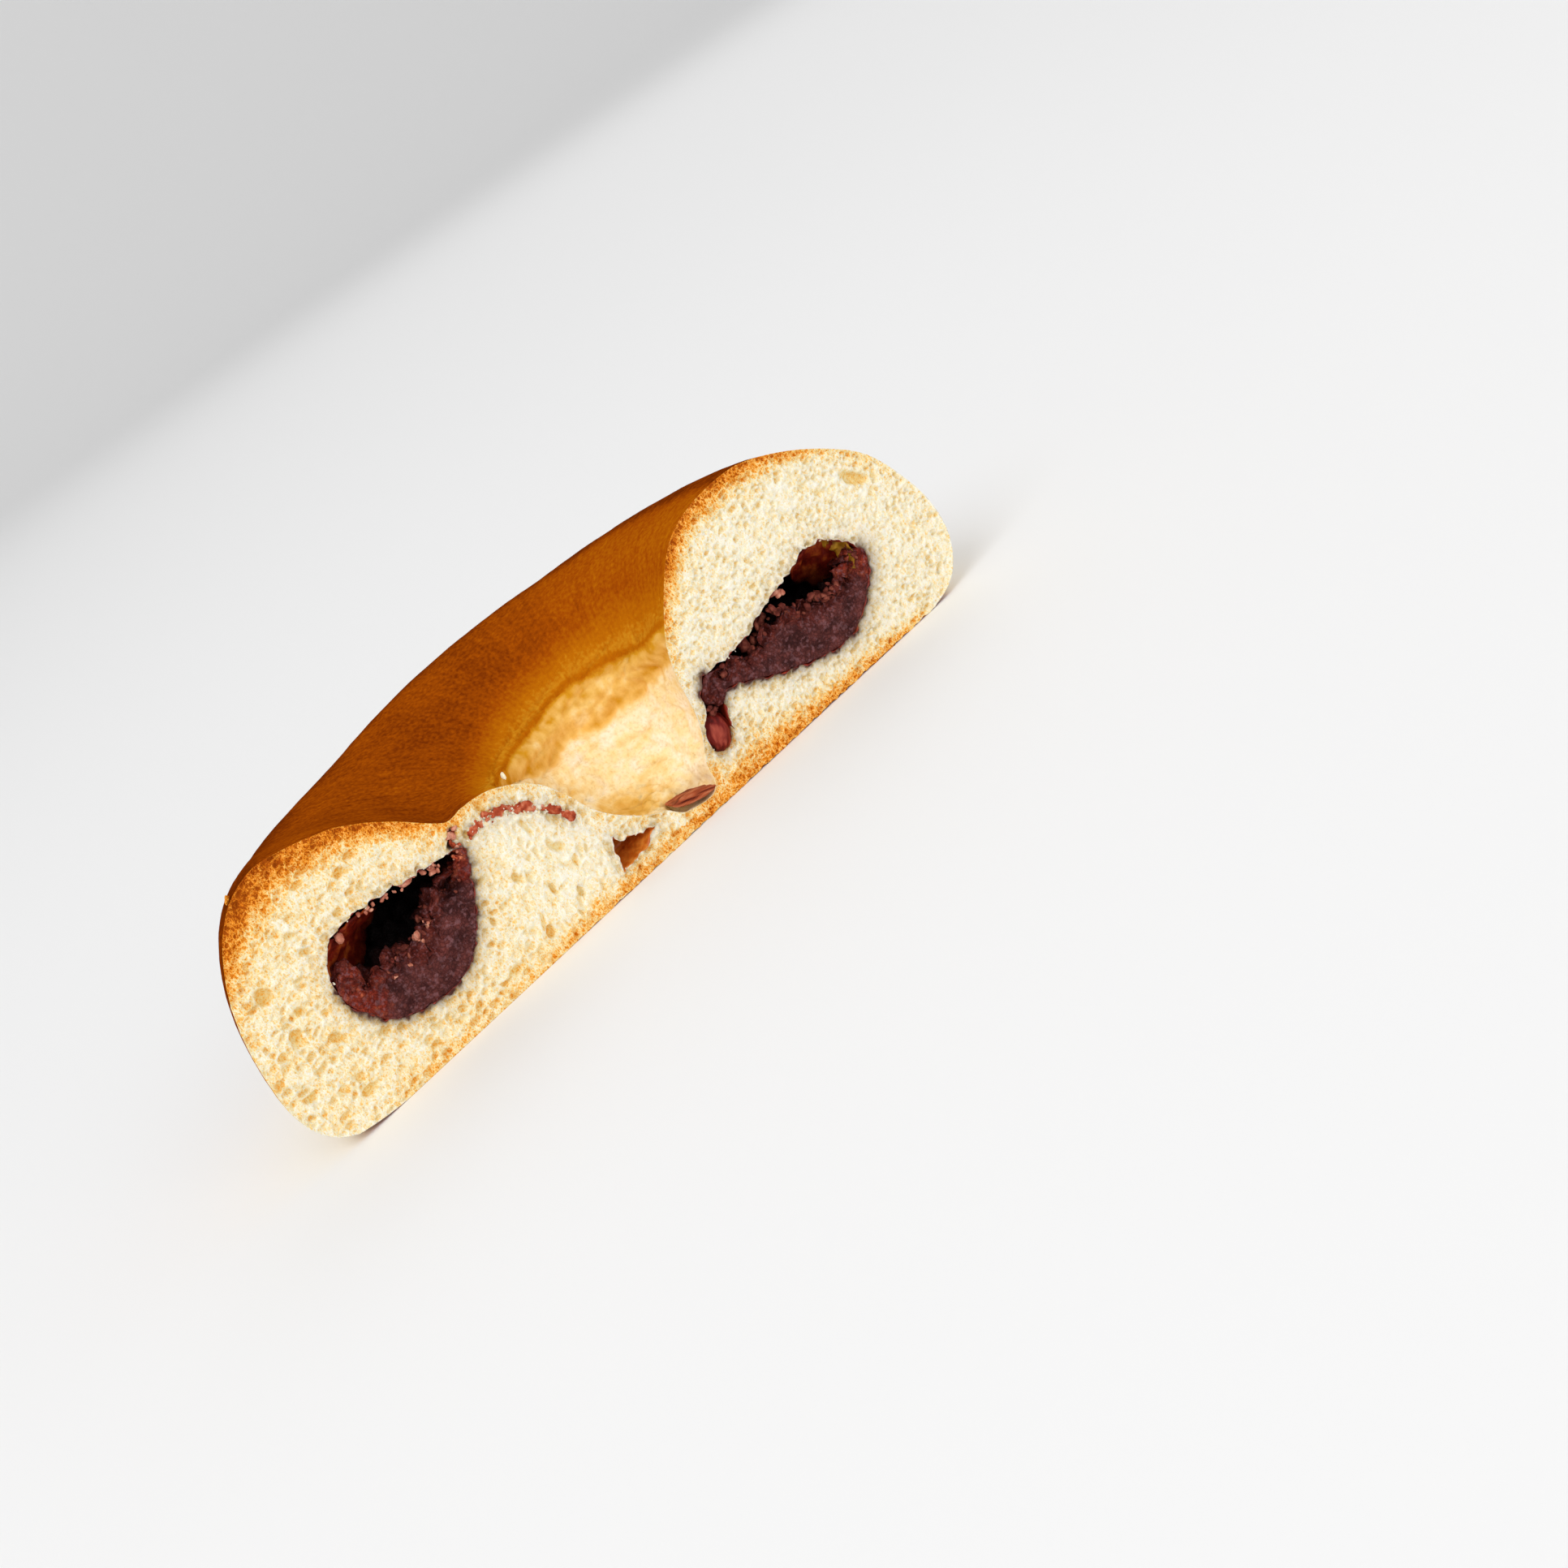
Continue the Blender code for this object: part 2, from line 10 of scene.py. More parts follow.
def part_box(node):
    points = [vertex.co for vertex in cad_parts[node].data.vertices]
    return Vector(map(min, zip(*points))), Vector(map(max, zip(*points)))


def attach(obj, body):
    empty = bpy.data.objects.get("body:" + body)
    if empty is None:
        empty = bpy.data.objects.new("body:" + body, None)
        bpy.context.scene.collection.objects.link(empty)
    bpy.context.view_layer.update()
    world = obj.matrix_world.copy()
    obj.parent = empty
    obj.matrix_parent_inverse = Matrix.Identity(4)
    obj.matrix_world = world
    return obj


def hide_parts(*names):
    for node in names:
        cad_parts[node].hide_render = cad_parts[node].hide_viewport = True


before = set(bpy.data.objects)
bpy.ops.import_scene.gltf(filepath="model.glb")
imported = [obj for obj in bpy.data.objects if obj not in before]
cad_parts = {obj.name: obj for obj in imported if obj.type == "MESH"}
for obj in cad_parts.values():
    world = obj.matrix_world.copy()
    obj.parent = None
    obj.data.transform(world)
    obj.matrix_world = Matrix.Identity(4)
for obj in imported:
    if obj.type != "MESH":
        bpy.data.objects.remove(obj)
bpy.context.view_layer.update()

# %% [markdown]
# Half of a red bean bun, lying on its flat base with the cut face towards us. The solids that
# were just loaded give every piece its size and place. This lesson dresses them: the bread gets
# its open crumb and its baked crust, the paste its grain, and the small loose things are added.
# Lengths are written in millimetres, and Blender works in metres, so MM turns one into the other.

MM = 0.001
SEED = 7
bread_low, bread_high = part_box("bread")
CUT_Y = bread_low.y

# %% [markdown]
# Places on the bun are easiest to give from the middle of its dimple, along the cut and into the
# half, because the dimple is what the bun is shaped around. Two small helpers turn such places
# into the places of the solids and back, for single points and for whole arrays of them.

# %% Places measured from the dimple
DIMPLE_X = 1.75
DIMPLE_PLACE = np.array((DIMPLE_X * MM, CUT_Y, 0.0))


def from_dimple(x, y, z):
    """A point given in millimetres from the dimple's middle, in metres in the frame."""
    return Vector((x + DIMPLE_X, y, z)) * MM + Vector((0.0, CUT_Y, 0.0))


def to_dimple(points):
    """Points of the frame in millimetres from the dimple's middle."""
    return (points - DIMPLE_PLACE) / MM


def ease(values):
    """Rises smoothly from 0 to 1 as the values go from 0 to 1."""
    values = np.clip(values, 0.0, 1.0)
    return values * values * (3.0 - 2.0 * values)


def blend(first, second, share):
    """Goes from the first to the second value as the share goes from 0 to 1."""
    return first + (second - first) * share


print("the dimple's middle is at", [round(value, 4) for value in from_dimple(0.0, 0.0, 0.0)])

# %% [markdown]
# A photograph has a place from which it was taken. The camera stands at that place: low in front
# of the cut, a little to the left, and rolled, so that the base of the bun runs up to the right.
# Its three directions are written as the columns of a turn, right, up and backwards.

# %% Camera
CAMERA_PLACE = from_dimple(-85.2, -222.0, 85.5)
CAMERA_RIGHT = Vector((0.67170, -0.51425, -0.53326))
CAMERA_UP = Vector((0.63386, 0.02635, 0.77300))
CAMERA_ANGLE = 42.0
SENSOR_WIDTH = 36.0
NEAREST_SEEN = 0.01

camera_data = bpy.data.cameras.new("camera")
camera = bpy.data.objects.new("camera", camera_data)
bpy.context.scene.collection.objects.link(camera)
camera_data.sensor_width = SENSOR_WIDTH
camera_data.lens = SENSOR_WIDTH / 2 / math.tan(math.radians(CAMERA_ANGLE) / 2)
camera_data.clip_start = NEAREST_SEEN
turn = Matrix((CAMERA_RIGHT, CAMERA_UP, CAMERA_RIGHT.cross(CAMERA_UP))).transposed()
camera.matrix_world = Matrix.Translation(CAMERA_PLACE) @ turn.to_4x4()
bpy.context.scene.camera = camera
print("camera lens in mm:", round(camera_data.lens, 1))

# %% [markdown]
# The bun stands on a plain white table. The table's far edge is drawn up and rounded, as a roll of
# paper hangs in a studio, so that no horizon shows.

# %% Table
FLOOR_SIZE = 6.0
PAPER_HEIGHT = 2.5
PAPER_ROUNDING = 0.8
PAPER_STEPS = 16
TABLE_WHITE = 0.9
TABLE_ROUGHNESS = 0.8


def select_only(piece):
    for other in bpy.context.selected_objects:
        other.select_set(False)
    piece.select_set(True)
    bpy.context.view_layer.objects.active = piece


def smooth(piece):
    """Shades all faces of a piece smoothly."""
    piece.data.polygons.foreach_set("use_smooth", np.ones(len(piece.data.polygons), bool))


def is_far_edge(edge):
    """Whether an edge of the table is the one at the back, at the height of the floor."""
    ends = [floor.data.vertices[number].co for number in edge.vertices]
    return all(end.y > 0.0 and end.z < PAPER_HEIGHT / 2 for end in ends)


bpy.ops.mesh.primitive_plane_add(size=FLOOR_SIZE, location=(0.0, 0.0, 0.0))
floor = bpy.context.object
floor.name = "table_top"
select_only(floor)
bpy.ops.object.mode_set(mode="EDIT")
bpy.ops.mesh.select_all(action="DESELECT")
bpy.ops.object.mode_set(mode="OBJECT")
for edge in floor.data.edges:
    edge.select = is_far_edge(edge)
bpy.ops.object.mode_set(mode="EDIT")
bpy.ops.mesh.extrude_region_move(TRANSFORM_OT_translate={"value": (0.0, 0.0, PAPER_HEIGHT)})
bpy.ops.object.mode_set(mode="OBJECT")
for edge in floor.data.edges:
    edge.select = is_far_edge(edge)
bpy.ops.object.mode_set(mode="EDIT")
bpy.ops.mesh.bevel(offset=PAPER_ROUNDING, segments=PAPER_STEPS, affect="EDGES")
bpy.ops.object.mode_set(mode="OBJECT")
smooth(floor)
white_table = bpy.data.materials.new("white_table")
white_table.use_nodes = True
table_inputs = white_table.node_tree.nodes["Principled BSDF"].inputs
table_inputs["Base Color"].default_value = (TABLE_WHITE, TABLE_WHITE, TABLE_WHITE, 1.0)
table_inputs["Roughness"].default_value = TABLE_ROUGHNESS
floor.data.materials.append(white_table)
print("faces of the table:", len(floor.data.polygons))

# %% [markdown]
# Three large lamps and a pale sky give soft light: the big one high on the left models the crust,
# the front one opens up the cut, and the one behind gives the back of the bun a soft edge.

# %% Sky and lamps
SKY_LIGHT = 0.65
LAMP_SIZE = 1050.0
LAMP_AIM = from_dimple(0.0, 20.0, 15.0)
LAMPS = (
    ("key_lamp", (-1050.0, -680.0, 1280.0), 12.2),
    ("front_lamp", (150.0, -1430.0, 480.0), 5.0),
    ("back_lamp", (900.0, 1020.0, 1030.0), 2.5),
)

bpy.context.scene.view_settings.view_transform = "Standard"
world = bpy.data.worlds.new("pale_sky")
bpy.context.scene.world = world
world.use_nodes = True
sky_inputs = world.node_tree.nodes["Background"].inputs
sky_inputs["Color"].default_value = (1.0, 1.0, 1.0, 1.0)
sky_inputs["Strength"].default_value = SKY_LIGHT

for name, place, watts in LAMPS:
    lamp_data = bpy.data.lights.new(name, "AREA")
    lamp_data.size = LAMP_SIZE * MM
    lamp_data.energy = watts
    lamp = bpy.data.objects.new(name, lamp_data)
    bpy.context.scene.collection.objects.link(lamp)
    lamp.location = from_dimple(*place)
    lamp.visible_camera = False
    lamp.rotation_euler = (LAMP_AIM - lamp.location).to_track_quat("-Z", "Y").to_euler()
print("lamps:", len(LAMPS))

# %% [markdown]
# Every piece starts as a copy of its solid. The solid's triangles are loose, so the copy's doubles
# are merged before anything else is done to it. The solid itself is left alone.

# %% Copy a solid
MERGE_DISTANCE = 0.0005


def edit_whole(piece):
    """Opens a piece in edit mode with all of it selected."""
    select_only(piece)
    bpy.ops.object.mode_set(mode="EDIT")
    bpy.ops.mesh.select_all(action="SELECT")


def copy_of(node, name):
    """A new piece with the merged mesh of a solid and no look yet."""
    piece = bpy.data.objects.new(name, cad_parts[node].data.copy())
    piece.data.materials.clear()
    bpy.context.scene.collection.objects.link(piece)
    edit_whole(piece)
    bpy.ops.mesh.remove_doubles(threshold=MERGE_DISTANCE * MM)
    bpy.ops.object.mode_set(mode="OBJECT")
    return piece


def apply_modifier(piece, kind, **settings):
    """Adds a modifier with these settings and applies it."""
    select_only(piece)
    modifier = piece.modifiers.new(kind.lower(), kind)
    for setting, value in settings.items():
        setattr(modifier, setting, value)
    bpy.ops.object.modifier_apply(modifier=modifier.name)


def triangles_of(piece):
    piece.data.calc_loop_triangles()
    return len(piece.data.loop_triangles)


bread = copy_of("bread", "bun_bread")
print("bread starts with", triangles_of(bread), "triangles")

# %% [markdown]
# A mesh of this size is best worked on as arrays. The first helper reads one property of all its
# points, edges, corners or faces at once. The others use it to read and move the points, and to
# select the faces whose corners are all among some chosen points.

# %% Meshes as arrays
def values_of(parts, name, kind=int, width=1):
    """A property of all these parts of a mesh, with width numbers for each."""
    values = np.empty(len(parts) * width, kind)
    parts.foreach_get(name, values)
    return values if width == 1 else values.reshape(-1, width)


def points_of(piece):
    return values_of(piece.data.vertices, "co", float, 3)


def normals_of(piece):
    return values_of(piece.data.vertices, "normal", float, 3)


def set_points(piece, points):
    piece.data.vertices.foreach_set("co", points.ravel())
    piece.data.update()


def faces_with(piece, chosen, all_corners):
    """Which faces have one corner, or all corners, among the chosen points."""
    corners = values_of(piece.data.loops, "vertex_index")
    starts = values_of(piece.data.polygons, "loop_start")
    gather = np.minimum if all_corners else np.maximum
    return gather.reduceat(chosen[corners].astype(int), starts).astype(bool)


def select_points(piece, chosen):
    """Selects these points, and the edges and faces whose points are all chosen."""
    ends = values_of(piece.data.edges, "vertices", int, 2)
    piece.data.vertices.foreach_set("select", chosen)
    piece.data.edges.foreach_set("select", chosen[ends].all(axis=1))
    piece.data.polygons.foreach_set("select", faces_with(piece, chosen, True))


print("points of the bread:", len(points_of(bread)))

# %% [markdown]
# The solid already has the largest bubbles of the crumb as dents in its cut face. All bubbles will
# be made again in finer form, so these few dents are closed first: the points behind each mouth
# are deleted, and the open mouths are filled flat.

# %% Close the dents in the cut face
BUBBLES_IN_SOLID = (
    (46.9, 20.7, 2.4, 1.0, 46.0), (-52.3, 14.5, 1.0, 0.9, 0.0), (-49.0, 11.4, 1.2, 0.8, 30.0),
    (-49.7, 4.0, 1.6, 0.7, 0.0), (-52.2, 20.4, 1.3, 1.1, 60.0), (-37.1, 25.6, 0.9, 0.7, 0.0),
    (-21.1, 11.1, 0.6, 0.8, 0.0), (-14.6, 10.4, 1.1, 0.7, 40.0), (-21.7, 3.2, 0.6, 1.0, 20.0),
)
DENT_DEPTH = 1.0
DENT_MARGIN = 0.05
CUT_TOLERANCE = 0.001


def close_dents(piece):
    """Deletes the points behind each dent's mouth and fills the mouth."""
    places = to_dimple(points_of(piece))
    behind = (places[:, 1] > CUT_TOLERANCE) & (places[:, 1] < DENT_DEPTH)
    in_dent = np.zeros(len(places), bool)
    for x, z, half_length, half_height, _ in BUBBLES_IN_SOLID:
        reach = max(half_length, half_height) + DENT_MARGIN
        in_dent |= behind & (np.hypot(places[:, 0] - x, places[:, 2] - z) < reach)
    select_only(piece)
    select_points(piece, in_dent)
    bpy.ops.object.mode_set(mode="EDIT")
    bpy.ops.mesh.delete(type="VERT")
    bpy.ops.mesh.select_all(action="SELECT")
    bpy.ops.mesh.fill_holes(sides=0)
    bpy.ops.object.mode_set(mode="OBJECT")


close_dents(bread)
print("bread without dents has", triangles_of(bread), "triangles")

# %% [markdown]
# Crumb is foam, and foam needs a much finer mesh than crust. The cut face is drawn forward, the
# bread is remeshed evenly, and then it is cut again with a block whose face is a very fine grid.
# The Boolean keeps the grid on the new cut face and leaves a crisp edge all round it.

# %% Fine mesh on the cut face
DRAWN_OUT = 3.0
BLOCK_DEPTH = 3 * DRAWN_OUT
BLOCK_MARGIN = 2.0
SKIN_VOXEL = 1.0
CRUMB_GRID = 0.19


def in_cut_plane(points):
    return np.abs(points[:, 1] - CUT_Y) < CUT_TOLERANCE * MM


def face_outward():
    """Turns all faces of the piece in edit mode outward, and ends the editing."""
    bpy.ops.mesh.select_all(action="SELECT")
    bpy.ops.mesh.normals_make_consistent(inside=False)
    bpy.ops.object.mode_set(mode="OBJECT")


def extrude(x, y, z):
    """Extrudes what is selected by so many metres."""
    bpy.ops.mesh.extrude_region_move(TRANSFORM_OT_translate={"value": (x, y, z)})


def apply_placement(piece):
    select_only(piece)
    bpy.ops.object.transform_apply(location=True, rotation=True, scale=True)


def draw_out(piece, distance):
    """Moves the cut face forward, with new walls behind its edge."""
    select_only(piece)
    select_points(piece, in_cut_plane(points_of(piece)))
    bpy.ops.object.mode_set(mode="EDIT")
    extrude(0.0, -distance * MM, 0.0)
    face_outward()


def fine_block(low, high, spacing):
    """A block in front of the cut, with a fine grid on the face that lies in the cut plane."""
    width = high.x - low.x + 2 * BLOCK_MARGIN * MM
    height = high.z - low.z + 2 * BLOCK_MARGIN * MM
    bpy.ops.mesh.primitive_grid_add(
        x_subdivisions=round(width / MM / spacing), y_subdivisions=round(height / MM / spacing),
        size=1.0, location=((low.x + high.x) / 2, CUT_Y, (low.z + high.z) / 2),
        rotation=(math.pi / 2, 0.0, 0.0))
    grid = bpy.context.object
    grid.scale = (width, height, 1.0)
    apply_placement(grid)
    edit_whole(grid)
    extrude(0.0, -BLOCK_DEPTH * MM, 0.0)
    face_outward()
    return grid


def cut_away(piece, cutter):
    """Takes the cutter's shape out of a piece, and removes the cutter."""
    apply_modifier(piece, "BOOLEAN", operation="DIFFERENCE", solver="MANIFOLD", object=cutter)
    bpy.data.objects.remove(cutter, do_unlink=True)


def remesh(piece, voxel):
    """Remeshes a piece evenly, with faces about voxel millimetres wide."""
    apply_modifier(piece, "REMESH", mode="VOXEL", voxel_size=voxel * MM, use_smooth_shade=True)


draw_out(bread, DRAWN_OUT)
remesh(bread, SKIN_VOXEL)
print("bread remeshed to", triangles_of(bread), "triangles")
cut_away(bread, fine_block(bread_low, bread_high, CRUMB_GRID))
print("bread cut to", triangles_of(bread), "triangles")

# %% [markdown]
# Two small Booleans follow. One opens the foot of the right tunnel, so that the bean there shows
# its full width, and one opens the three-cornered gap under the thin skin of the dimple.

# %% Two openings beside the cut
BEAN_MOUTH = (10.9, 0.6, 7.3)
BEAN_MOUTH_SIZE = (2.2, 1.8, 2.7)
BEAN_LEAN = math.radians(12.0)
FLOOR_GAP = (
    (-8.9, 7.0), (-9.4, 4.9), (-10.1, 2.5), (-8.2, 2.3), (-5.7, 2.8), (-3.0, 4.1), (-4.7, 4.5),
    (-7.2, 5.5),
)
FLOOR_GAP_DEPTH = 5.0
FLOOR_GAP_NARROWING = 0.4
PRISM_START = 0.5
PRISM_CUTS = 5


def narrowing_prism(outline, depth, narrowing):
    """A prism that starts before the cut plane on an outline, and narrows into the bread."""
    bpy.ops.mesh.primitive_circle_add(vertices=len(outline), fill_type="NGON", radius=MM)
    prism = bpy.context.object
    for point, (x, z) in zip(prism.data.vertices, outline):
        point.co = from_dimple(x, -PRISM_START, z)
    edit_whole(prism)
    extrude(0.0, (depth + PRISM_START) * MM, 0.0)
    middle = from_dimple(*np.mean(outline, axis=0)[[0, 1, 1]])
    bpy.ops.transform.resize(value=(narrowing, 1.0, narrowing), center_override=middle)
    bpy.ops.mesh.select_all(action="SELECT")
    bpy.ops.mesh.subdivide(number_cuts=PRISM_CUTS)
    face_outward()
    return prism


bpy.ops.mesh.primitive_uv_sphere_add(
    segments=32, ring_count=16, radius=1.0, location=from_dimple(*BEAN_MOUTH),
    rotation=(0.0, BEAN_LEAN, 0.0))
mouth = bpy.context.object
mouth.scale = Vector(BEAN_MOUTH_SIZE) * MM
apply_placement(mouth)
cut_away(bread, mouth)
cut_away(bread, narrowing_prism(FLOOR_GAP, FLOOR_GAP_DEPTH, FLOOR_GAP_NARROWING))
print("bread with both openings has", triangles_of(bread), "triangles")

# %% [markdown]
# The dimple has thin folds, and folds need points to bend. The faces inside the dimple are
# subdivided twice, but not those beside the cut, whose edge is fine enough already.

# %% Finer mesh in the dimple
DIMPLE_REACH = 17.0
DIMPLE_START = 0.8
DIMPLE_BASE = 3.5


def subdivide_points(piece, chosen, cuts):
    """Subdivides the faces whose corners are all chosen."""
    select_only(piece)
    select_points(piece, chosen)
    bpy.ops.object.mode_set(mode="EDIT")
    bpy.ops.mesh.subdivide(number_cuts=cuts, smoothness=0.0)
    bpy.ops.object.mode_set(mode="OBJECT")


places = to_dimple(points_of(bread))
in_dimple = np.hypot(places[:, 0], places[:, 1]) < DIMPLE_REACH
in_dimple &= (places[:, 1] > DIMPLE_START) & (places[:, 2] > DIMPLE_BASE)
subdivide_points(bread, in_dimple, 2)
print("bread with a fine dimple has", triangles_of(bread), "triangles")

# %% [markdown]
# Three kinds of surface meet on the bread: the cut, the baked outside, and the walls of the
# hollows inside. The cut is where every corner of a face lies in the cut plane. The other two
# don't touch each other anywhere else, so a label that is passed from point to point along the
# edges tells them apart: the outside is the surface that the highest point belongs to.

# %% Cut, outside and hollow walls
def surface_labels(count, edges):
    """Gives all points that are joined by the edges the same lowest number."""
    labels = np.arange(count)
    while True:
        lowest = labels[edges].min(axis=1)
        before = labels.copy()
        np.minimum.at(labels, edges[:, 0], lowest)
        np.minimum.at(labels, edges[:, 1], lowest)
        labels = labels[labels]
        if (labels == before).all():
            return labels


def edges_with_cut_faces(piece, points):
    """The edges of a piece, and how many cut faces and other faces each one has."""
    mesh = piece.data
    corner_points = values_of(mesh.loops, "vertex_index")
    corner_edges = values_of(mesh.loops, "edge_index")
    starts = values_of(mesh.polygons, "loop_start")
    sizes = values_of(mesh.polygons, "loop_total")
    face_is_cut = np.minimum.reduceat(in_cut_plane(points)[corner_points], starts)
    corner_is_cut = np.repeat(face_is_cut, sizes)
    cut_faces = np.bincount(corner_edges[corner_is_cut], minlength=len(mesh.edges))
    side_faces = np.bincount(corner_edges[~corner_is_cut], minlength=len(mesh.edges))
    return values_of(mesh.edges, "vertices", int, 2), cut_faces, side_faces


bread_points = points_of(bread)
edges, cut_faces, side_faces = edges_with_cut_faces(bread, bread_points)
rim_edges = edges[(cut_faces > 0) & (side_faces > 0)]
labels = surface_labels(len(bread_points), edges[side_faces > 0])
is_rim = np.zeros(len(bread_points), bool)
is_rim[rim_edges] = True
is_crumb = np.zeros(len(bread_points), bool)
is_crumb[edges[side_faces == 0]] = True
is_crumb &= ~is_rim
is_outside = labels == labels[bread_points[:, 2].argmax()]
is_hollow = ~is_outside & ~is_crumb
print("points of crumb", is_crumb.sum(), "outside", is_outside.sum(), "hollows", is_hollow.sum())

# %% [markdown]
# How brown the crust is at a place depends on how far the place is from two lines that run round
# the dimple: the border, where the brown crust ends, and a fold in the pale skin inside it. Both
# are given by their radius at some angles, from the right end of the cut round the back to the
# left end. A little smooth noise makes them wander.

# %% Lines round the dimple
BORDER_ANGLES = (0.0, 22.0, 55.0, 75.0, 140.0, 180.0)
BORDER_RADII = (12.9, 12.5, 13.6, 14.6, 14.8, 16.0)
FOLD_ANGLES = (0.0, 14.0, 42.0, 71.0, 94.0, 110.0, 122.0, 180.0)
FOLD_RADII = (11.4, 11.2, 11.3, 11.8, 12.6, 12.6, 13.0, 16.0)
LINE_SWAY, SWAY_SIZE = 0.3, 4.0


def noise_at(places, size, seed):
    """Smooth noise, mostly from -0.5 to 0.5, whose lumps are about size millimetres across."""
    shift = Vector((seed * 13.1, seed * 7.7, seed * 3.3))
    return np.array([noise.noise(Vector(place) / size + shift) for place in places])


def two_noises(places, size, fine_size, fine_share, seed):
    """Smooth noise with a share of finer noise on top."""
    return noise_at(places, size, seed) + fine_share * noise_at(places, fine_size, seed + 1)


def peak(distance, width):
    """1 at distance 0, falling smoothly to nearly 0 at twice the width on both sides."""
    return np.exp(-(distance / width) ** 2)


def angle_round_dimple(places):
    """Degrees from the right end of the cut, round the back to the left end."""
    return np.degrees(np.arctan2(np.maximum(places[:, 1], 0.0), places[:, 0]))


def past_fold_and_border(places):
    """How many millimetres a place is outside the dimple's inner fold and outside its border."""
    angle = angle_round_dimple(places)
    radius = np.hypot(places[:, 0], places[:, 1]) + LINE_SWAY * noise_at(places, SWAY_SIZE, SEED)
    fold = radius - np.interp(angle, FOLD_ANGLES, FOLD_RADII)
    border = radius - np.interp(angle, BORDER_ANGLES, BORDER_RADII)
    return fold, border


bread_places = to_dimple(bread_points)
outside_places = bread_places[is_outside]
past_fold, past_border = past_fold_and_border(outside_places)
print("points inside the dimple's border:", (past_border < 0.0).sum())

# %% [markdown]
# Inside the border the skin stayed pale. It is a little tanned between fold and border. Along the
# fold a darker line is painted shade of the crease, the dimple's floor gets a patch of painted
# shade, and the skin gets painted shade towards the left. Outside the border the crust is ochre at
# first and soon brown, with a thin darker line on the border that is the painted shadow of its
# step. The crust is less brown towards the right end.

# %% Browning of the dimple and its ring
PALE, OCHRE, BROWN, DARK, TRAY = 0.08, 0.39, 0.74, 0.88, 0.58
LESS_BROWN_AT_RIGHT, LESS_BROWN_REACH = 0.13, 20.0
OCHRE_REACH = 5.5
BORDER_SHADOW, BORDER_SHADOW_AT, BORDER_SHADOW_WIDTH = 0.12, 0.15, 0.3
SHELF_ANGLES = (0.0, 20.0, 48.0, 62.0, 105.0, 115.0, 130.0, 180.0)
SHELF_TAN = (0.28, 0.28, 0.28, 0.3, 0.28, 0.27, 0.26, 0.22)
SHELF_RISE = 1.7
FAR_SHARE, NEAR_SHARE, NEAR_REACH = 0.6, 0.5, 0.9
FOLD_SHADE, FOLD_SHADE_WIDTH = 0.15, 0.35
FLOOR_SHADE = 0.25
FLOOR_MIDDLE, FLOOR_REACH, FLOOR_TOP = (-2.5, 4.5), (6.0, 3.0), 9.0
INNER_TAN, LEFT_INNER_SHADE = 0.06, 0.06


def skin_browning(places, past_fold, past_border):
    """How brown the skin inside the dimple's border is, with painted shade along the fold, on the
    dimple's floor and towards the left.
    """
    x, y, z = places.T
    shelf = np.interp(angle_round_dimple(places), SHELF_ANGLES, SHELF_TAN)
    shelf *= ease(past_fold / SHELF_RISE + 0.5)
    shelf *= FAR_SHARE + NEAR_SHARE * np.exp(np.minimum(past_border, 0.0) / NEAR_REACH)
    # Painted shade: a darker line along the crease of the fold.
    shelf += FOLD_SHADE * peak(past_fold, FOLD_SHADE_WIDTH)
    # Painted shade: a darker patch low on the dimple's floor.
    from_floor = np.hypot(
        (x - FLOOR_MIDDLE[0]) / FLOOR_REACH[0], (y - FLOOR_MIDDLE[1]) / FLOOR_REACH[1])
    shelf = np.maximum(shelf, FLOOR_SHADE * peak(from_floor, 1.0) * (z < FLOOR_TOP))
    mottled = 0.07 * noise_at(places, 2.6, SEED + 50) + 0.09 * noise_at(places, 0.9, SEED + 51)
    # Painted shade: the skin is darker towards the left, by the hump.
    return np.hypot(shelf, INNER_TAN + LEFT_INNER_SHADE * ease(-x / 8.0)) + mottled


def inner_browning(places, past_fold, past_border):
    """How brown the inner side of the ring and the dimple are, with a painted shadow line on the
    border.
    """
    # The crust is less brown towards the right end.
    brown_towards_right = BROWN - LESS_BROWN_AT_RIGHT * ease(places[:, 0] / LESS_BROWN_REACH)
    ring = blend(OCHRE, brown_towards_right, ease(past_border / OCHRE_REACH))
    # Painted shadow: a thin darker line where the crust steps down to the pale skin.
    ring += BORDER_SHADOW * peak(past_border - BORDER_SHADOW_AT, BORDER_SHADOW_WIDTH)
    skin = skin_browning(places, past_fold, past_border)
    return blend(skin, ring, ease(past_border / 0.5 + 0.5))


inner = inner_browning(outside_places, past_fold, past_border)
print("mean browning inside the border:", round(float(inner[past_border < 0.0].mean()), 2))

# %% [markdown]
# The outer side fades from dark brown to gold and then to pale dough near the base. That fade sits
# higher at the right end. The base is baked evenly by the tray.

# %% Browning of the outer side and the base
RING_CENTRE = (-7.3, -5.0)
RING_RADIUS = 36.0
RIGHT_END_ANGLE = 40.0
FADE_TOPS, FADE_BOTTOMS = (20.0, 29.0), (7.0, 17.0)
FADE_SWAY = 1.5
DARK_START, DARK_WIDTH, DARK_RAISED = -5.0, 8.0, 2.0
RIDGE_HALF_WIDTH = 2.0
TRAY_HEIGHT, TRAY_START, TRAY_FADE, TRAY_SWAY = 1.3, 5.0, 4.0, 0.12


def outer_browning(places, from_ring, wobble):
    """How brown the outer side of the ring is."""
    height = places[:, 2]
    right_end = ease((RIGHT_END_ANGLE - angle_round_dimple(places)) / RIGHT_END_ANGLE)
    top, bottom = blend(*FADE_TOPS, right_end), blend(*FADE_BOTTOMS, right_end)
    rise = ease((height + FADE_SWAY * wobble - bottom) / (top - bottom))
    darker = ease((from_ring - DARK_START) / DARK_WIDTH)
    darker *= ease((height - bottom - DARK_RAISED) / (top - bottom + DARK_RAISED))
    return blend(PALE, blend(BROWN, DARK, darker), rise)


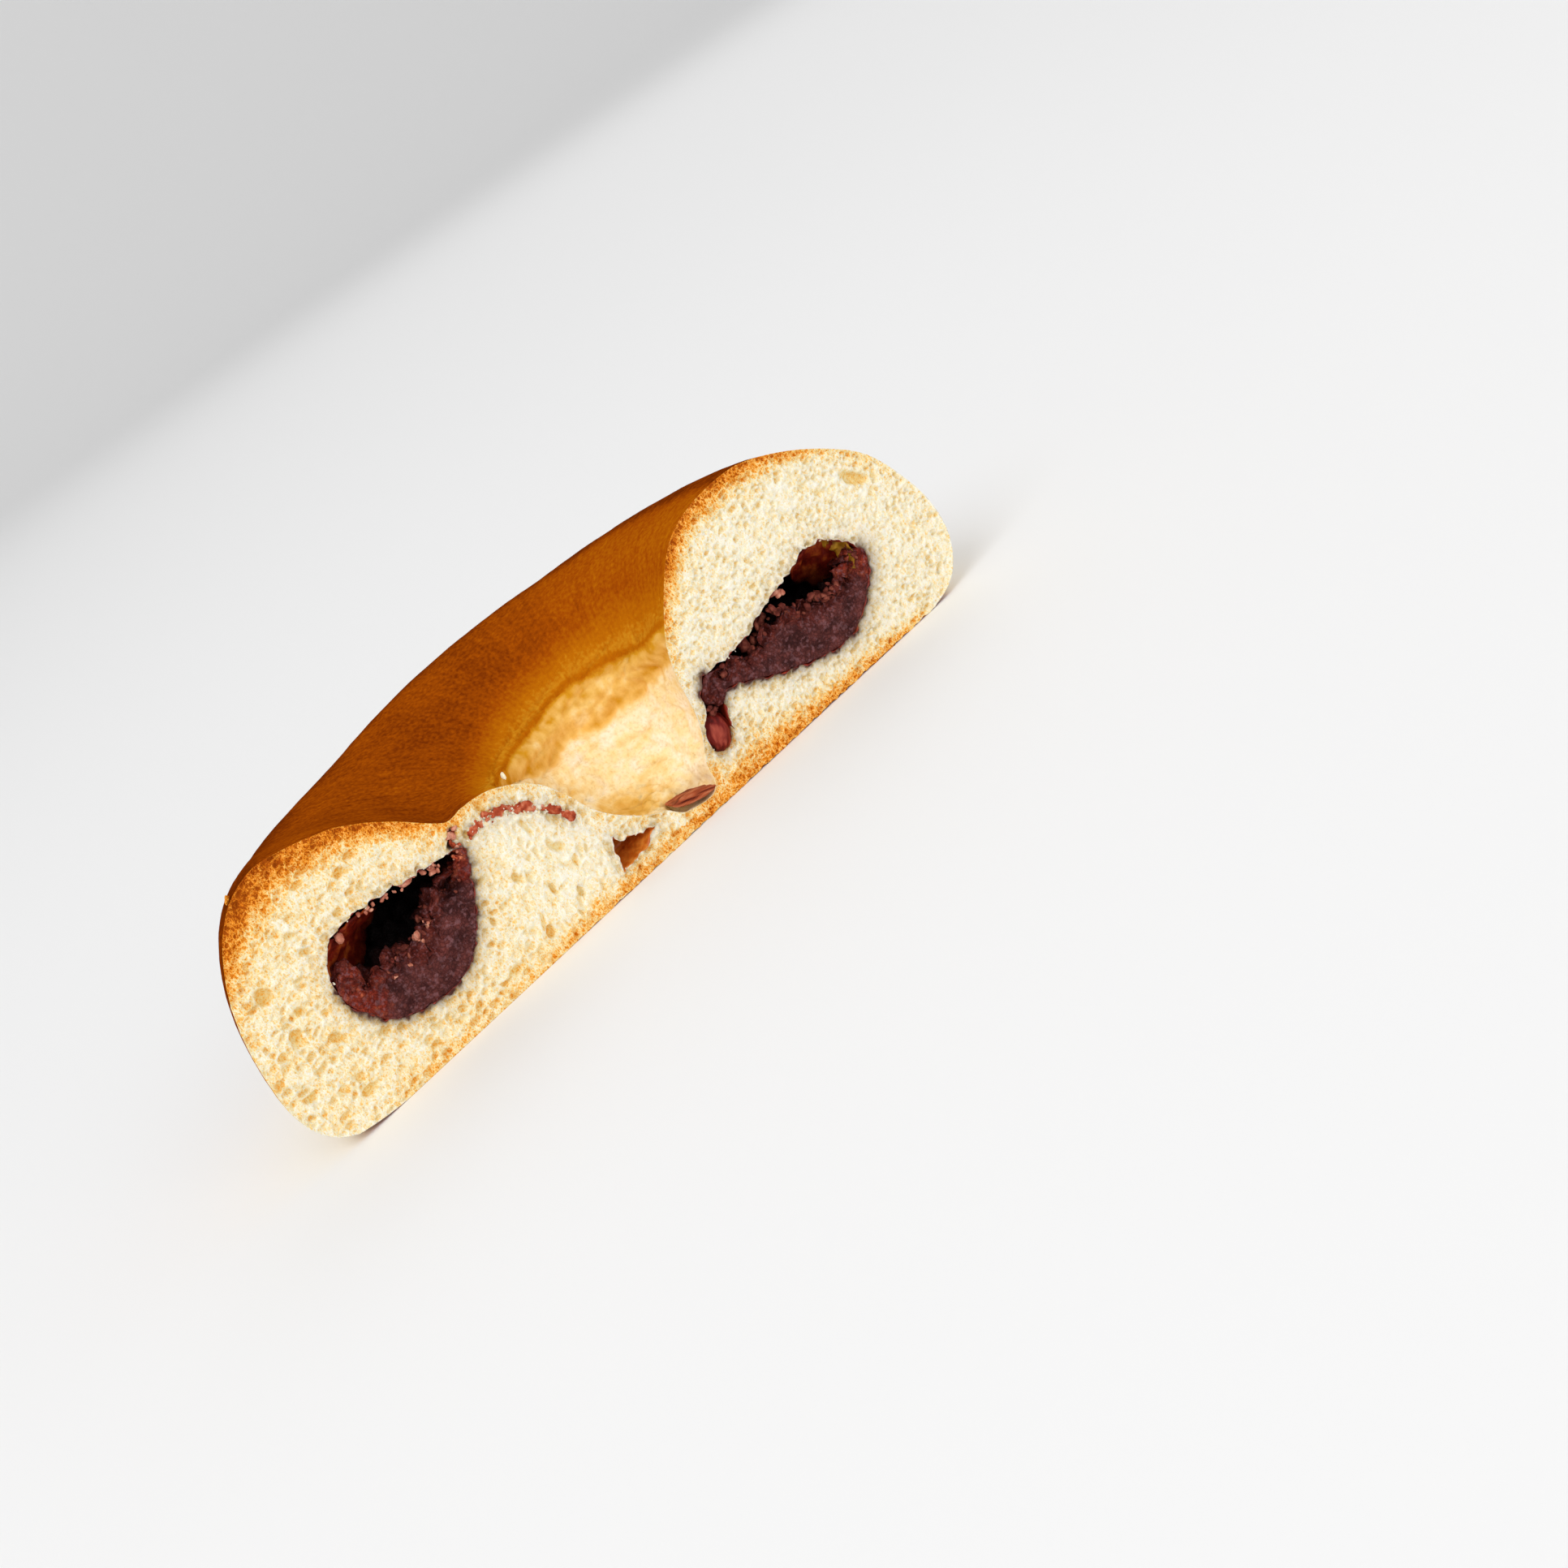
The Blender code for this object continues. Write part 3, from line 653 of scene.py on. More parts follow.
def browning(places, inner):
    """How brown the outside is, from 0 for pale dough to 1."""
    from_ring = np.hypot(places[:, 0] - RING_CENTRE[0], places[:, 1] - RING_CENTRE[1]) - RING_RADIUS
    wobble = noise_at(places, 3.0, SEED)
    outer = outer_browning(places, from_ring, wobble)
    outward = ease((from_ring + RIDGE_HALF_WIDTH) / (2 * RIDGE_HALF_WIDTH))
    brown = blend(inner, outer, outward)
    from_middle = np.hypot(places[:, 0], places[:, 1])
    under = ease(TRAY_HEIGHT - places[:, 2]) * ease((from_middle - TRAY_START) / TRAY_FADE)
    return np.clip(blend(brown, TRAY + TRAY_SWAY * wobble, under), 0.0, 1.0)


def on_points(chosen, values):
    """The values at the chosen points of a mesh, and 0 at all its other points."""
    result = np.zeros(len(chosen))
    result[chosen] = values
    return result


brown = on_points(is_outside, browning(outside_places, inner))
print("mean browning of the outside:", round(float(brown[is_outside].mean()), 2))

# %% [markdown]
# For each point of the cut the nearest place on the cut's edge is found, once on the outer edge
# and once on the edges of the hollows. How far away it is, and which part of the edge it is, will
# say how much the crumb takes from the crust and from the paste. A search tree is quick at this.

# %% Distance from the edge of the cut
def nearest_on(places, targets):
    """Distance to the nearest target, and its number, for each place."""
    tree = KDTree(len(targets))
    for number, target in enumerate(targets):
        tree.insert(Vector(target), number)
    tree.balance()
    found = [tree.find(Vector(place)) for place in places]
    return np.array([hit[2] for hit in found]), np.array([hit[1] for hit in found])


rim_middles = bread_places[rim_edges].mean(axis=1)
rim_outer = is_outside[rim_edges[:, 0]]
crumb_places = bread_places[is_crumb]
crust_distance, crust_number = nearest_on(crumb_places, rim_middles[rim_outer])
hollow_distance, hollow_number = nearest_on(crumb_places, rim_middles[~rim_outer])
edge_distance = np.minimum(crust_distance, hollow_distance)
print("crumb lies up to", round(float(crust_distance.max()), 1), "mm under the crust")

# %% [markdown]
# Crumb is foam: cells of many sizes that share thin walls. Scattered seeds make such cells when
# each place belongs to its nearest seed and the walls run where two seeds are equally near. They
# are worked out on a map of the cut, and random lumps bend it so that the cells stand in no rows.

# %% Lumps on a map of the cut
MAP_STEP = 0.1
MAP_LEFT, MAP_RIGHT, MAP_TOP = -60.0, 57.0, 34.0

random = np.random.default_rng(SEED)
map_across, map_up = np.meshgrid(
    np.arange(MAP_LEFT, MAP_RIGHT, MAP_STEP), np.arange(0.0, MAP_TOP, MAP_STEP))


def lumps_in_map(size):
    """Smooth noise from -1 to 1 over the map, made of random values on a coarse grid."""
    rows = int(MAP_TOP / size) + 3
    columns = int((MAP_RIGHT - MAP_LEFT) / size) + 3
    values = random.uniform(-1.0, 1.0, (rows, columns))
    row, column = map_up / size, (map_across - MAP_LEFT) / size
    low, left = row.astype(int), column.astype(int)
    up_share, right_share = ease(row - low), ease(column - left)
    below = blend(values[low, left], values[low, left + 1], right_share)
    above = blend(values[low + 1, left], values[low + 1, left + 1], right_share)
    return blend(below, above, up_share)


print("map of the cut:", map_across.shape, "places")

# %% [markdown]
# Each layer of foam needs the distances to the nearest and to the second nearest seed: where they
# are almost the same there is a wall. Only the seeds of the nine squares around a place count.

# %% Cells of foam
CELL_SWAY, SWAY_LENGTH = 0.35, 1.3
LARGEST_SEED = 0.38
CLOSED_DEPTH = 0.12
WALL_WIDTH, WALL_SLOPE = 0.1, 0.55


def foam(size, open_share, deepest, flatness):
    """Depth map of cells about size millimetres wide, some of them open."""
    across = (map_across - MAP_LEFT) / size + CELL_SWAY * lumps_in_map(SWAY_LENGTH * size)
    up = map_up * flatness / size + CELL_SWAY * lumps_in_map(SWAY_LENGTH * size)
    columns, rows = int(across.max()) + 5, int(up.max()) + 5
    seed_shift = random.uniform(0.1, 0.9, (2, rows, columns))
    seed_size = random.uniform(0.0, LARGEST_SEED, (rows, columns))
    seed_depth = deepest * random.uniform(0.15, 1.0, (rows, columns))
    seed_depth[random.uniform(size=(rows, columns)) > open_share] *= CLOSED_DEPTH
    column, row = np.floor(across).astype(int), np.floor(up).astype(int)
    nearest = np.full(across.shape, 9.0)
    second = np.full(across.shape, 9.0)
    depth = np.zeros(across.shape)
    for beside, over in ((beside, over) for beside in (-1, 0, 1) for over in (-1, 0, 1)):
        index = (row + over + 1, column + beside + 1)
        to_seed = np.hypot(
            column + beside + seed_shift[0][index] - across, row + over + seed_shift[1][index] - up)
        to_seed -= seed_size[index]
        closer = to_seed < nearest
        second = np.where(closer, nearest, np.minimum(second, to_seed))
        depth = np.where(closer, seed_depth[index], depth)
        nearest = np.where(closer, to_seed, nearest)
    return depth * np.sqrt(ease((second - nearest - WALL_WIDTH) / WALL_SLOPE))


print("seeds are at most", LARGEST_SEED, "of a cell wide")

# %% [markdown]
# One layer of foam has a few open cells among many that the knife closed, a second layer is finer.
# Cells lie flat in the two lobes, stand upright in the hump between them, and are finer at the
# right.

# %% Foam of the crumb
HUMP = (-25.5, -21.5, -9.5, -7.0)
FINE_START, FINE_END = 2.0, 16.0
RIGHT_SCALE = 0.66
OPEN_CELLS = (1.35, 0.72, 0.6)
SMALL_CELLS = (0.66, 0.9, 0.28)


def two_layers(open_scale, scale, open_flatness, small_flatness):
    """The deeper one of a layer of open cells and a layer of small cells."""
    return np.maximum(
        foam(open_scale * OPEN_CELLS[0], *OPEN_CELLS[1:], open_flatness),
        foam(scale * SMALL_CELLS[0], *SMALL_CELLS[1:], small_flatness))


def crumb_foam(scale):
    """Foam whose cells lie flat, and stand upright in the hump."""
    flat = two_layers(scale, scale, 1.45, 1.2)
    upright = two_layers(scale * 0.8, scale, 0.6, 0.8)
    in_hump = ease((map_across - HUMP[0]) / (HUMP[1] - HUMP[0]))
    in_hump *= ease((HUMP[3] - map_across) / (HUMP[3] - HUMP[2]))
    return blend(flat, upright, in_hump)


to_right = ease((map_across - FINE_START) / (FINE_END - FINE_START))
bubble_map = blend(crumb_foam(1.0), crumb_foam(RIGHT_SCALE), to_right)
print("mean depth of the foam in mm:", round(float(bubble_map.mean()), 3))

# %% [markdown]
# The larger bubbles are pressed in last, each in its own place: those of the solid and some more.

# %% Larger bubbles in their places
MORE_BUBBLES = (
    (40.0, 20.4, 0.6, 0.5, 0.0), (41.2, 22.3, 0.7, 0.5, 30.0), (49.6, 19.2, 0.7, 0.5, 40.0),
    (48.4, 18.1, 0.6, 0.4, 30.0), (38.9, 19.5, 0.5, 0.4, 0.0), (-44.3, 8.0, 1.0, 0.6, 20.0),
    (-40.0, 22.1, 0.8, 0.6, 10.0), (-50.1, 16.4, 0.9, 0.7, 50.0), (-45.6, 21.2, 0.8, 0.6, 30.0),
    (-18.4, 11.8, 0.5, 0.5, 0.0), (-18.3, 6.9, 0.4, 0.9, 0.0), (-15.7, 4.3, 0.4, 0.9, 0.0),
    (-28.0, 2.5, 1.3, 0.6, 5.0), (-26.5, 8.9, 0.5, 0.8, 0.0), (-35.4, 1.3, 1.0, 0.5, 0.0),
)
BUBBLE_DEPTH, BUBBLE_SLOPE = 0.95, 0.55
BUBBLE_SWAY, BUBBLE_SWAY_SIZE = 0.16, 0.7


def bubble_shape(x, z, half_length, half_height, lean):
    """Depth map of one bubble with a ragged edge, leaning by some degrees."""
    across, up = map_across - x, map_up - z
    cosine, sine = math.cos(math.radians(-lean)), math.sin(math.radians(-lean))
    along = (across * cosine + up * sine) / half_length
    over = (up * cosine - across * sine) / half_height
    inside = 1.0 - np.hypot(along, over) + BUBBLE_SWAY * edge_lumps
    return BUBBLE_DEPTH * min(half_height, 1.0) * np.sqrt(ease(inside / BUBBLE_SLOPE))


edge_lumps = lumps_in_map(BUBBLE_SWAY_SIZE)
for bubble in BUBBLES_IN_SOLID + MORE_BUBBLES:
    bubble_map = np.maximum(bubble_map, bubble_shape(*bubble))
print("larger bubbles:", len(BUBBLES_IN_SOLID + MORE_BUBBLES))

# %% [markdown]
# The map is read at each point of the cut, and the point moves back into the bread by that much.
# The depth is also kept, so that the material can paint shade into the bubbles from the very same
# shape.

# %% Push the crumb in
CRUMB_ROUGHNESS = 0.07
EDGE_FADE = 0.3


def map_value(values, places):
    """The map's value at each place on the cut, mixed from the four map places around it."""
    columns = (places[:, 0] - MAP_LEFT) / MAP_STEP
    rows = places[:, 2] / MAP_STEP
    left = np.clip(columns.astype(int), 0, values.shape[1] - 2)
    low = np.clip(rows.astype(int), 0, values.shape[0] - 2)
    right_share, high_share = columns - left, rows - low
    below = blend(values[low, left], values[low, left + 1], right_share)
    above = blend(values[low + 1, left], values[low + 1, left + 1], right_share)
    return blend(below, above, high_share)


dent = map_value(bubble_map, crumb_places)
rough = two_noises(crumb_places, 0.45, 1.4, 1.0, SEED + 1)
fade = ease(edge_distance / EDGE_FADE)
crumb_depth = fade * (dent + CRUMB_ROUGHNESS * np.maximum(rough + 1.0, 0.0))
bread_points[is_crumb, 1] += crumb_depth * MM
pore = on_points(is_crumb, dent * fade)
print("deepest bubble in mm:", round(float(dent.max()), 2))

# %% [markdown]
# The crumb takes colour from the crust above it. Seen from the middle of each lobe, that changes
# with the angle: it is strong and goes deep where the oven reached, weak at the sides, and thin
# above the tray. Each row below says, for one angle, how strong it is and how far it reaches.

# %% Tint from the crust
LEFT_MIDDLE, RIGHT_MIDDLE = (-38.0, 13.0), (33.0, 14.0)
LEFT_TINT = (
    (-180.0, 0.28, 1.5), (-140.0, 0.16, 1.5), (-110.0, 0.52, 1.4), (-60.0, 0.46, 1.3),
    (-17.0, 0.65, 2.3), (-13.5, 0.25, 1.5), (8.0, 0.25, 1.5), (20.0, 0.46, 1.5), (45.0, 0.8, 1.6),
    (65.0, 1.05, 2.3), (90.0, 1.12, 2.8), (115.0, 1.25, 3.6), (128.0, 1.15, 3.2),
    (140.0, 0.85, 2.4), (160.0, 0.36, 1.5), (180.0, 0.28, 1.5),
)
RIGHT_TINT = (
    (-180.0, 0.15, 1.5), (-168.0, 0.2, 1.5), (-162.0, 0.35, 1.8), (-155.0, 0.8, 2.6),
    (-140.0, 0.8, 3.3), (-125.0, 0.85, 2.0),
    (-60.0, 0.75, 1.2), (-45.0, 0.2, 1.1), (0.0, 0.15, 1.5), (25.0, 0.38, 1.5),
    (50.0, 0.5, 1.3), (68.0, 0.76, 1.7), (90.0, 0.98, 2.2), (115.0, 1.08, 2.3),
    (138.0, 0.95, 2.3), (150.0, 0.68, 2.0), (165.0, 0.4, 1.6), (180.0, 0.15, 1.5),
)
LEFT_CRUMB_TINT, RIGHT_CRUMB_TINT, NEST_TINT = 0.23, 0.12, 0.4
NEST_X, NEST_HALF_WIDTH, NEST_TOP = 11.5, 3.0, 7.0


def tint_at(angle, rows):
    """The strength and the reach of the tint at these angles."""
    angles, strengths, reaches = np.array(rows).T
    return np.interp(angle, angles, strengths), np.interp(angle, angles, reaches)


def crust_tint(edge_places, under):
    """How much crust colour there is at a depth under these places on the edge of the cut."""
    on_left = edge_places[:, 0] < 1.0
    middle = np.where(on_left[:, None], LEFT_MIDDLE, RIGHT_MIDDLE)
    angle = np.degrees(
        np.arctan2(edge_places[:, 2] - middle[:, 1], edge_places[:, 0] - middle[:, 0]))
    at_edge, reach = np.where(on_left, tint_at(angle, LEFT_TINT), tint_at(angle, RIGHT_TINT))
    to_right = ease((edge_places[:, 0] + 30.0) / 15.0)
    crumb_tint = blend(LEFT_CRUMB_TINT, RIGHT_CRUMB_TINT, to_right)
    return blend(crumb_tint, at_edge, peak(under, reach))


crust = on_points(is_crumb, crust_tint(
    rim_middles[rim_outer][crust_number], np.maximum(crust_distance + 0.3 * rough, 0.0)))
outer_rim = is_rim & is_outside
crust[outer_rim] = crust_tint(bread_places[outer_rim], np.zeros(outer_rim.sum()))
by_nest = np.abs(bread_places[:, 0] - NEST_X) < NEST_HALF_WIDTH
under_bean = is_hollow & by_nest & (bread_places[:, 2] < NEST_TOP)
crust[under_bean] = NEST_TINT
print("mean tint of the crumb:", round(float(crust[is_crumb].mean()), 2))

# %% [markdown]
# Beside the paste the crumb is stained in two ways: moisture makes a soft stain all round the
# hollows and the streak, and the knife smeared paste over the first half millimetre where paste
# lies against the edge. In the crack from the left tunnel up to the skin, paste fills a groove.

# %% Stain of the paste
STREAK_LINE = (
    (-22.4, 19.0), (-20.2, 19.3), (-17.8, 18.6), (-15.0, 16.9), (-12.6, 14.6), (-10.9, 12.0),
)
CRACK_LINE = ((-25.5, 16.8), (-24.9, 18.0), (-24.7, 19.4), (-23.9, 20.6))
CRACK_WIDTH, CRACK_DEPTH = 0.4, 0.9
LINE_SAMPLES = 60
STREAK_HALF_WIDTH = 0.5
STAIN, STAIN_REACH = 0.75, 0.5
WIDE_STAIN, WIDE_STAIN_REACH = 0.25, 2.2
TOUCH = 0.5
SMEAR_REACH, MORE_AT_RIGHT = 0.5, 0.35


def along_line(line, share):
    """The place at each share of the way along a line of points."""
    line = np.array(line)
    steps = np.linalg.norm(np.diff(line, axis=0), axis=1)
    lengths = np.concatenate(((0.0,), np.cumsum(steps)))
    wanted = np.asarray(share) * lengths[-1]
    return np.stack(
        [np.interp(wanted, lengths, line[:, axis]) for axis in range(line.shape[1])], axis=-1)


def distance_to_line(places, line):
    """Distance on the cut from each place to the nearest of some samples along a line."""
    samples = along_line(line, np.linspace(0.0, 1.0, LINE_SAMPLES))
    across = places[:, [0, 2]]
    return np.linalg.norm(across[:, None, :] - samples[None, :, :], axis=2).min(axis=1)


def distance_to(piece, points):
    """How many millimetres each point is from the surface of a piece."""
    tree = BVHTree.FromObject(piece, bpy.context.evaluated_depsgraph_get())
    return np.array([tree.find_nearest(Vector(point))[3] for point in points]) / MM


from_streak = distance_to_line(crumb_places, STREAK_LINE) - STREAK_HALF_WIDTH
from_paste = np.minimum(hollow_distance, np.maximum(from_streak, 0.0))
stain_here = STAIN * np.exp(-from_paste / STAIN_REACH)
stain_here += WIDE_STAIN * peak(from_paste, WIDE_STAIN_REACH)
stain = on_points(is_crumb, stain_here)
rim_points = bread_points[rim_edges].mean(axis=1)[~rim_outer]
rim_to_paste = distance_to(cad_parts["paste"], rim_points)
beside_paste = 1.0 - ease((rim_to_paste - TOUCH) / TOUCH)
smear_reach = SMEAR_REACH + MORE_AT_RIGHT * ease((crumb_places[:, 0] - 30.0) / 8.0)
smeared_share = np.exp(-np.maximum(hollow_distance + 0.3 * rough - 0.1, 0.0) / smear_reach)
in_crack = peak(distance_to_line(crumb_places, CRACK_LINE) + 0.1 * rough, CRACK_WIDTH)
smear = on_points(is_crumb, np.maximum(beside_paste[hollow_number] * smeared_share, in_crack))
bread_points[is_crumb, 1] += CRACK_DEPTH * in_crack * MM
hollow_rim = is_rim & ~is_outside
rim_number = nearest_on(bread_places[hollow_rim], rim_middles[~rim_outer])[1]
smear[hollow_rim] = beside_paste[rim_number]
stain[hollow_rim] = 1.0
print("points smeared with paste:", (smear > 0.5).sum())

# %% [markdown]
# All these numbers are kept on the mesh, where the materials will read them. Two more are for the
# walls of the hollows: how deep a place lies, which sets the painted shade inside them, and whether
# it is in the dry gap by the base.

# %% Keep the numbers on the mesh
GAP_X, GAP_HALF_WIDTH, GAP_TOP = -6.5, 5.0, 7.5
FULL_SHADE_DEPTHS = (9.0, 30.0)


def set_value(piece, name, values):
    """Keeps one number for each point on the mesh, where materials can read it."""
    layer = piece.data.attributes.new(name, "FLOAT", "POINT")
    layer.data.foreach_set("value", np.asarray(values, np.float32))


in_gap = (np.abs(bread_places[:, 0] - GAP_X) < GAP_HALF_WIDTH) & (bread_places[:, 2] < GAP_TOP)
# Painted shade: the walls darken with depth behind the cut, to full shade at these depths, later at
# the left end.
to_full_shade = blend(*FULL_SHADE_DEPTHS, ease((-36.0 - bread_places[:, 0]) / 6.0))
deep = is_hollow * ease((bread_places[:, 1] - 0.5) / to_full_shade)
kept_numbers = {
    "smear": smear, "pore": pore, "crust": crust, "stain": stain, "brown": brown,
    "dry": is_hollow & in_gap, "deep": deep}
for name, values in kept_numbers.items():
    set_value(bread, name, values)
set_points(bread, bread_points)
print("numbers kept on the bread:", len(kept_numbers))

# %% [markdown]
# A knife tears bread a little. The edges of the hollows aren't clean lines, and along the base the
# crumb broke away in small bites where it was stuck to the tray. Both are made by moving points
# with smooth noise: sideways near the hollows, and upwards near the base.

# %% Torn edges
TORN_EDGE, TORN_REACH, TORN_DEPTH = 0.5, 1.6, 0.15
TORN_BASE_PLACES = (-24.0, -16.0, 8.0, 15.0, 44.0, 50.0)
TORN_BASE = (0.0, 0.25, 0.3, 0.4, 0.35, 0.0)
BASE_HEIGHT, BASE_DEPTH, BITE_REACH = 4.0, 2.5, 1.6

flat_places = bread_places * np.array((1.0, 0.0, 1.0))
near_hollow = on_points(is_crumb, peak(hollow_distance, 0.9))
near_hollow[is_hollow] = ease(1.0 - bread_places[is_hollow, 1] / TORN_REACH)
torn = near_hollow > 0.01
for axis, seed in ((0, SEED + 20), (2, SEED + 22)):
    sway = two_noises(flat_places[torn], 1.1, 0.45, 0.3, seed)
    bread_points[torn, axis] += TORN_EDGE * near_hollow[torn] * sway * MM
back = np.maximum(noise_at(flat_places[torn], 0.8, SEED + 24), 0.0)
bread_points[torn, 1] += TORN_DEPTH * near_hollow[torn] * back * MM
by_base = ~is_hollow & (bread_places[:, 2] < BASE_HEIGHT) & (bread_places[:, 1] < BASE_DEPTH)
base_places = bread_places[by_base]
bites = two_noises(base_places, 1.3, 0.6, 0.6, SEED + 26)
lift = np.interp(base_places[:, 0], TORN_BASE_PLACES, TORN_BASE) * np.maximum(bites + 0.2, 0.0)
lift *= peak(base_places[:, 2], BITE_REACH) * ease(1.0 - base_places[:, 1] / BITE_REACH)
bread_points[by_base, 2] += lift * MM
set_points(bread, bread_points)
print("bites in the base are up to", round(float(lift.max()), 2), "mm high")

# %% [markdown]
# The baked outside has its own relief. Crust is slightly dimpled all over, a step marks where it
# ends at the dimple, the pale skin inside is folded and creased, and the base is rough where it
# stuck to the tray. Each point moves along its own normal, and not at all at the edge of the cut.

# %% Relief of the baked outside
CRUST_LUMPS = 0.10
CRUST_GRAIN = 0.035
BORDER_STEP = 0.5
FOLD_DEPTH, FOLD_WIDTH = 0.9, 0.45
SWELL_SHARE, SWELL_AT, SWELL_WIDTH = 0.6, 1.0, 0.6
CREASE_DEPTH, CREASE_WIDTH = 0.4, 0.07
BASE_ROUGHNESS = 0.25
EDGE_KEPT = 1.2


def wrinkles_of_skin(places):
    """Soft wrinkles, and sharp creases that run round the dimple and down into it."""
    wrinkles = 0.3 * noise_at(places * np.array((1.0, 1.0, 0.35)), 2.6, SEED + 5)
    wrinkles += 0.12 * noise_at(places, 0.9, SEED + 7)
    radius = np.hypot(places[:, 0], places[:, 1])
    round_places = np.stack((radius, 0.05 * angle_round_dimple(places), 0.3 * places[:, 2]), axis=1)
    for size, seed in ((2.6, SEED + 52), (1.7, SEED + 53)):
        wrinkles -= CREASE_DEPTH * peak(noise_at(round_places, size, seed), CREASE_WIDTH)
    return wrinkles


def outside_relief(places, past_fold, past_border):
    """How far the outside moves out, in millimetres."""
    lumps = CRUST_LUMPS * noise_at(places, 6.0, SEED + 3)
    lumps += CRUST_GRAIN * noise_at(places, 1.5, SEED + 4)
    step = BORDER_STEP * (ease(past_border / 0.6 + 0.5) - 1.0)
    crease = FOLD_DEPTH * peak(past_fold, FOLD_WIDTH)
    swell = SWELL_SHARE * FOLD_DEPTH * peak(past_fold - SWELL_AT, SWELL_WIDTH)
    in_dimple = 1.0 - ease(past_border / 3.0)
    above_floor = ease((places[:, 2] - 6.0) / 3.0)
    skin = (step + swell - crease) * above_floor + wrinkles_of_skin(places)
    base = BASE_ROUGHNESS * noise_at(places, 1.7, SEED + 6) * ease((2.5 - places[:, 2]) / 2.0)
    return lumps + skin * in_dimple + base


moved = outside_relief(outside_places, past_fold, past_border)
moved *= ease(outside_places[:, 1] / EDGE_KEPT)
shifted = bread_points[is_outside] + normals_of(bread)[is_outside] * moved[:, None] * MM
shifted[:, 2] = np.maximum(shifted[:, 2], 0.0)
bread_points[is_outside] = shifted
set_points(bread, bread_points)
print("outside moves by", round(float(moved.min()), 2), "to", round(float(moved.max()), 2), "mm")

# %% [markdown]
# Materials are made of nodes. A few short helpers make the nodes and join them: `paint` turns a
# colour as seen on a screen into the numbers that light is reckoned with, `new_look` starts a
# material, `read` takes one of the numbers kept on the mesh, and `reckon` does sums with them.

# %% Helpers for materials
def paint(red, green, blue):
    """A screen colour of 0 to 255 as linear light."""
    shares = (value / 255.0 for value in (red, green, blue))
    return (*(share / 12.92 if share <= 0.04045 else ((share + 0.055) / 1.055) ** 2.4
              for share in shares), 1.0)


def new_look(name, roughness, specular=0.5):
    """A material, its node tree and its shader."""
    look = bpy.data.materials.new(name)
    look.use_nodes = True
    shader = look.node_tree.nodes["Principled BSDF"]
    shader.inputs["Roughness"].default_value = roughness
    shader.inputs["Specular IOR Level"].default_value = specular
    return look, look.node_tree, shader


def feed(tree, socket, source):
    """Gives a socket a number, a colour or the output of another node."""
    if isinstance(source, bpy.types.NodeSocket):
        tree.links.new(source, socket)
    else:
        socket.default_value = source


def read(tree, name):
    """A number that was kept on the mesh."""
    node = tree.nodes.new("ShaderNodeAttribute")
    node.attribute_name = name
    return node.outputs["Fac"]


def reckon(tree, operation, first, second=0.0, third=0.0):
    """The result of one sum."""
    node = tree.nodes.new("ShaderNodeMath")
    node.operation = operation
    for socket, source in zip(node.inputs, (first, second, third)):
        feed(tree, socket, source)
    return node.outputs["Value"]


def swing(tree, value, width):
    """Turns a value from 0 to 1 into one that swings round 0 by this width."""
    return reckon(tree, "MULTIPLY_ADD", value, width, -width / 2)


print("a middle grey is", round(paint(128, 128, 128)[0], 3), "of full light")

# %% [markdown]
# Four more helpers deal with colour and relief: `ramp` turns a number into a colour, `mask` into a
# grey, `mixed` mixes two colours, and `bumps` adds relief that is too small for the mesh.

# %% Ramps, mixes and relief
def grey(value):
    return (value, value, value, 1.0)


def linear_ramp(tree, value, stops):
    """A ramp through colours that are given as linear light."""
    node = tree.nodes.new("ShaderNodeValToRGB")
    elements = node.color_ramp.elements
    for number, (position, colour) in enumerate(stops):
        element = elements[number] if number < 2 else elements.new(position)
        element.position = position
        element.color = colour
    feed(tree, node.inputs["Fac"], value)
    return node.outputs["Color"]


def ramp(tree, value, stops):
    """A colour for each value, through the screen colours of the stops."""
    return linear_ramp(tree, value, [(position, paint(*colour)) for position, colour in stops])


def mask(tree, value, low, high, start=0.0, end=1.0):
    """A grey that goes from start, where the value is low, to end, where it is high."""
    return linear_ramp(tree, value, ((low, grey(start)), (high, grey(end))))


def mixed(tree, share, first, second, how="MIX"):
    """Two colours mixed, the second one by this share."""
    node = tree.nodes.new("ShaderNodeMix")
    node.data_type = "RGBA"
    node.blend_type = how
    feed(tree, node.inputs["Factor"], share)
    lower, upper = [socket for socket in node.inputs if socket.type == "RGBA"]
    feed(tree, lower, first)
    feed(tree, upper, second)
    return [socket for socket in node.outputs if socket.type == "RGBA"][0]


def bumps(tree, shader, height, depth):
    """Small relief of depth millimetres in the shading."""
    node = tree.nodes.new("ShaderNodeBump")
    node.inputs["Strength"].default_value = 1.0
    node.inputs["Distance"].default_value = depth * MM
    feed(tree, node.inputs["Height"], height)
    tree.links.new(node.outputs["Normal"], shader.inputs["Normal"])


print("a middle mask is", grey(0.5))

# %% [markdown]
# Two effects are used by many of the finishes: a fine grain, and the small closed cells of baked
# or mashed food. Each is built once as a node group with its own inputs, like a small tool, and is
# placed in a material with the values that suit it. Both read the place on the object in metres.

# %% Node group for grain
NO_STRETCH = (1.0, 1.0, 1.0)


def new_group(name, inputs, output):
    """An empty node group with its inputs and one output."""
    group = bpy.data.node_groups.new(name, "ShaderNodeTree")
    for label, kind, value in inputs:
        socket = group.interface.new_socket(name=label, in_out="INPUT", socket_type=kind)
        socket.default_value = value
    group.interface.new_socket(name=output, in_out="OUTPUT", socket_type="NodeSocketFloat")
    start = group.nodes.new("NodeGroupInput")
    end = group.nodes.new("NodeGroupOutput")
    return group, start.outputs, end.inputs[output]


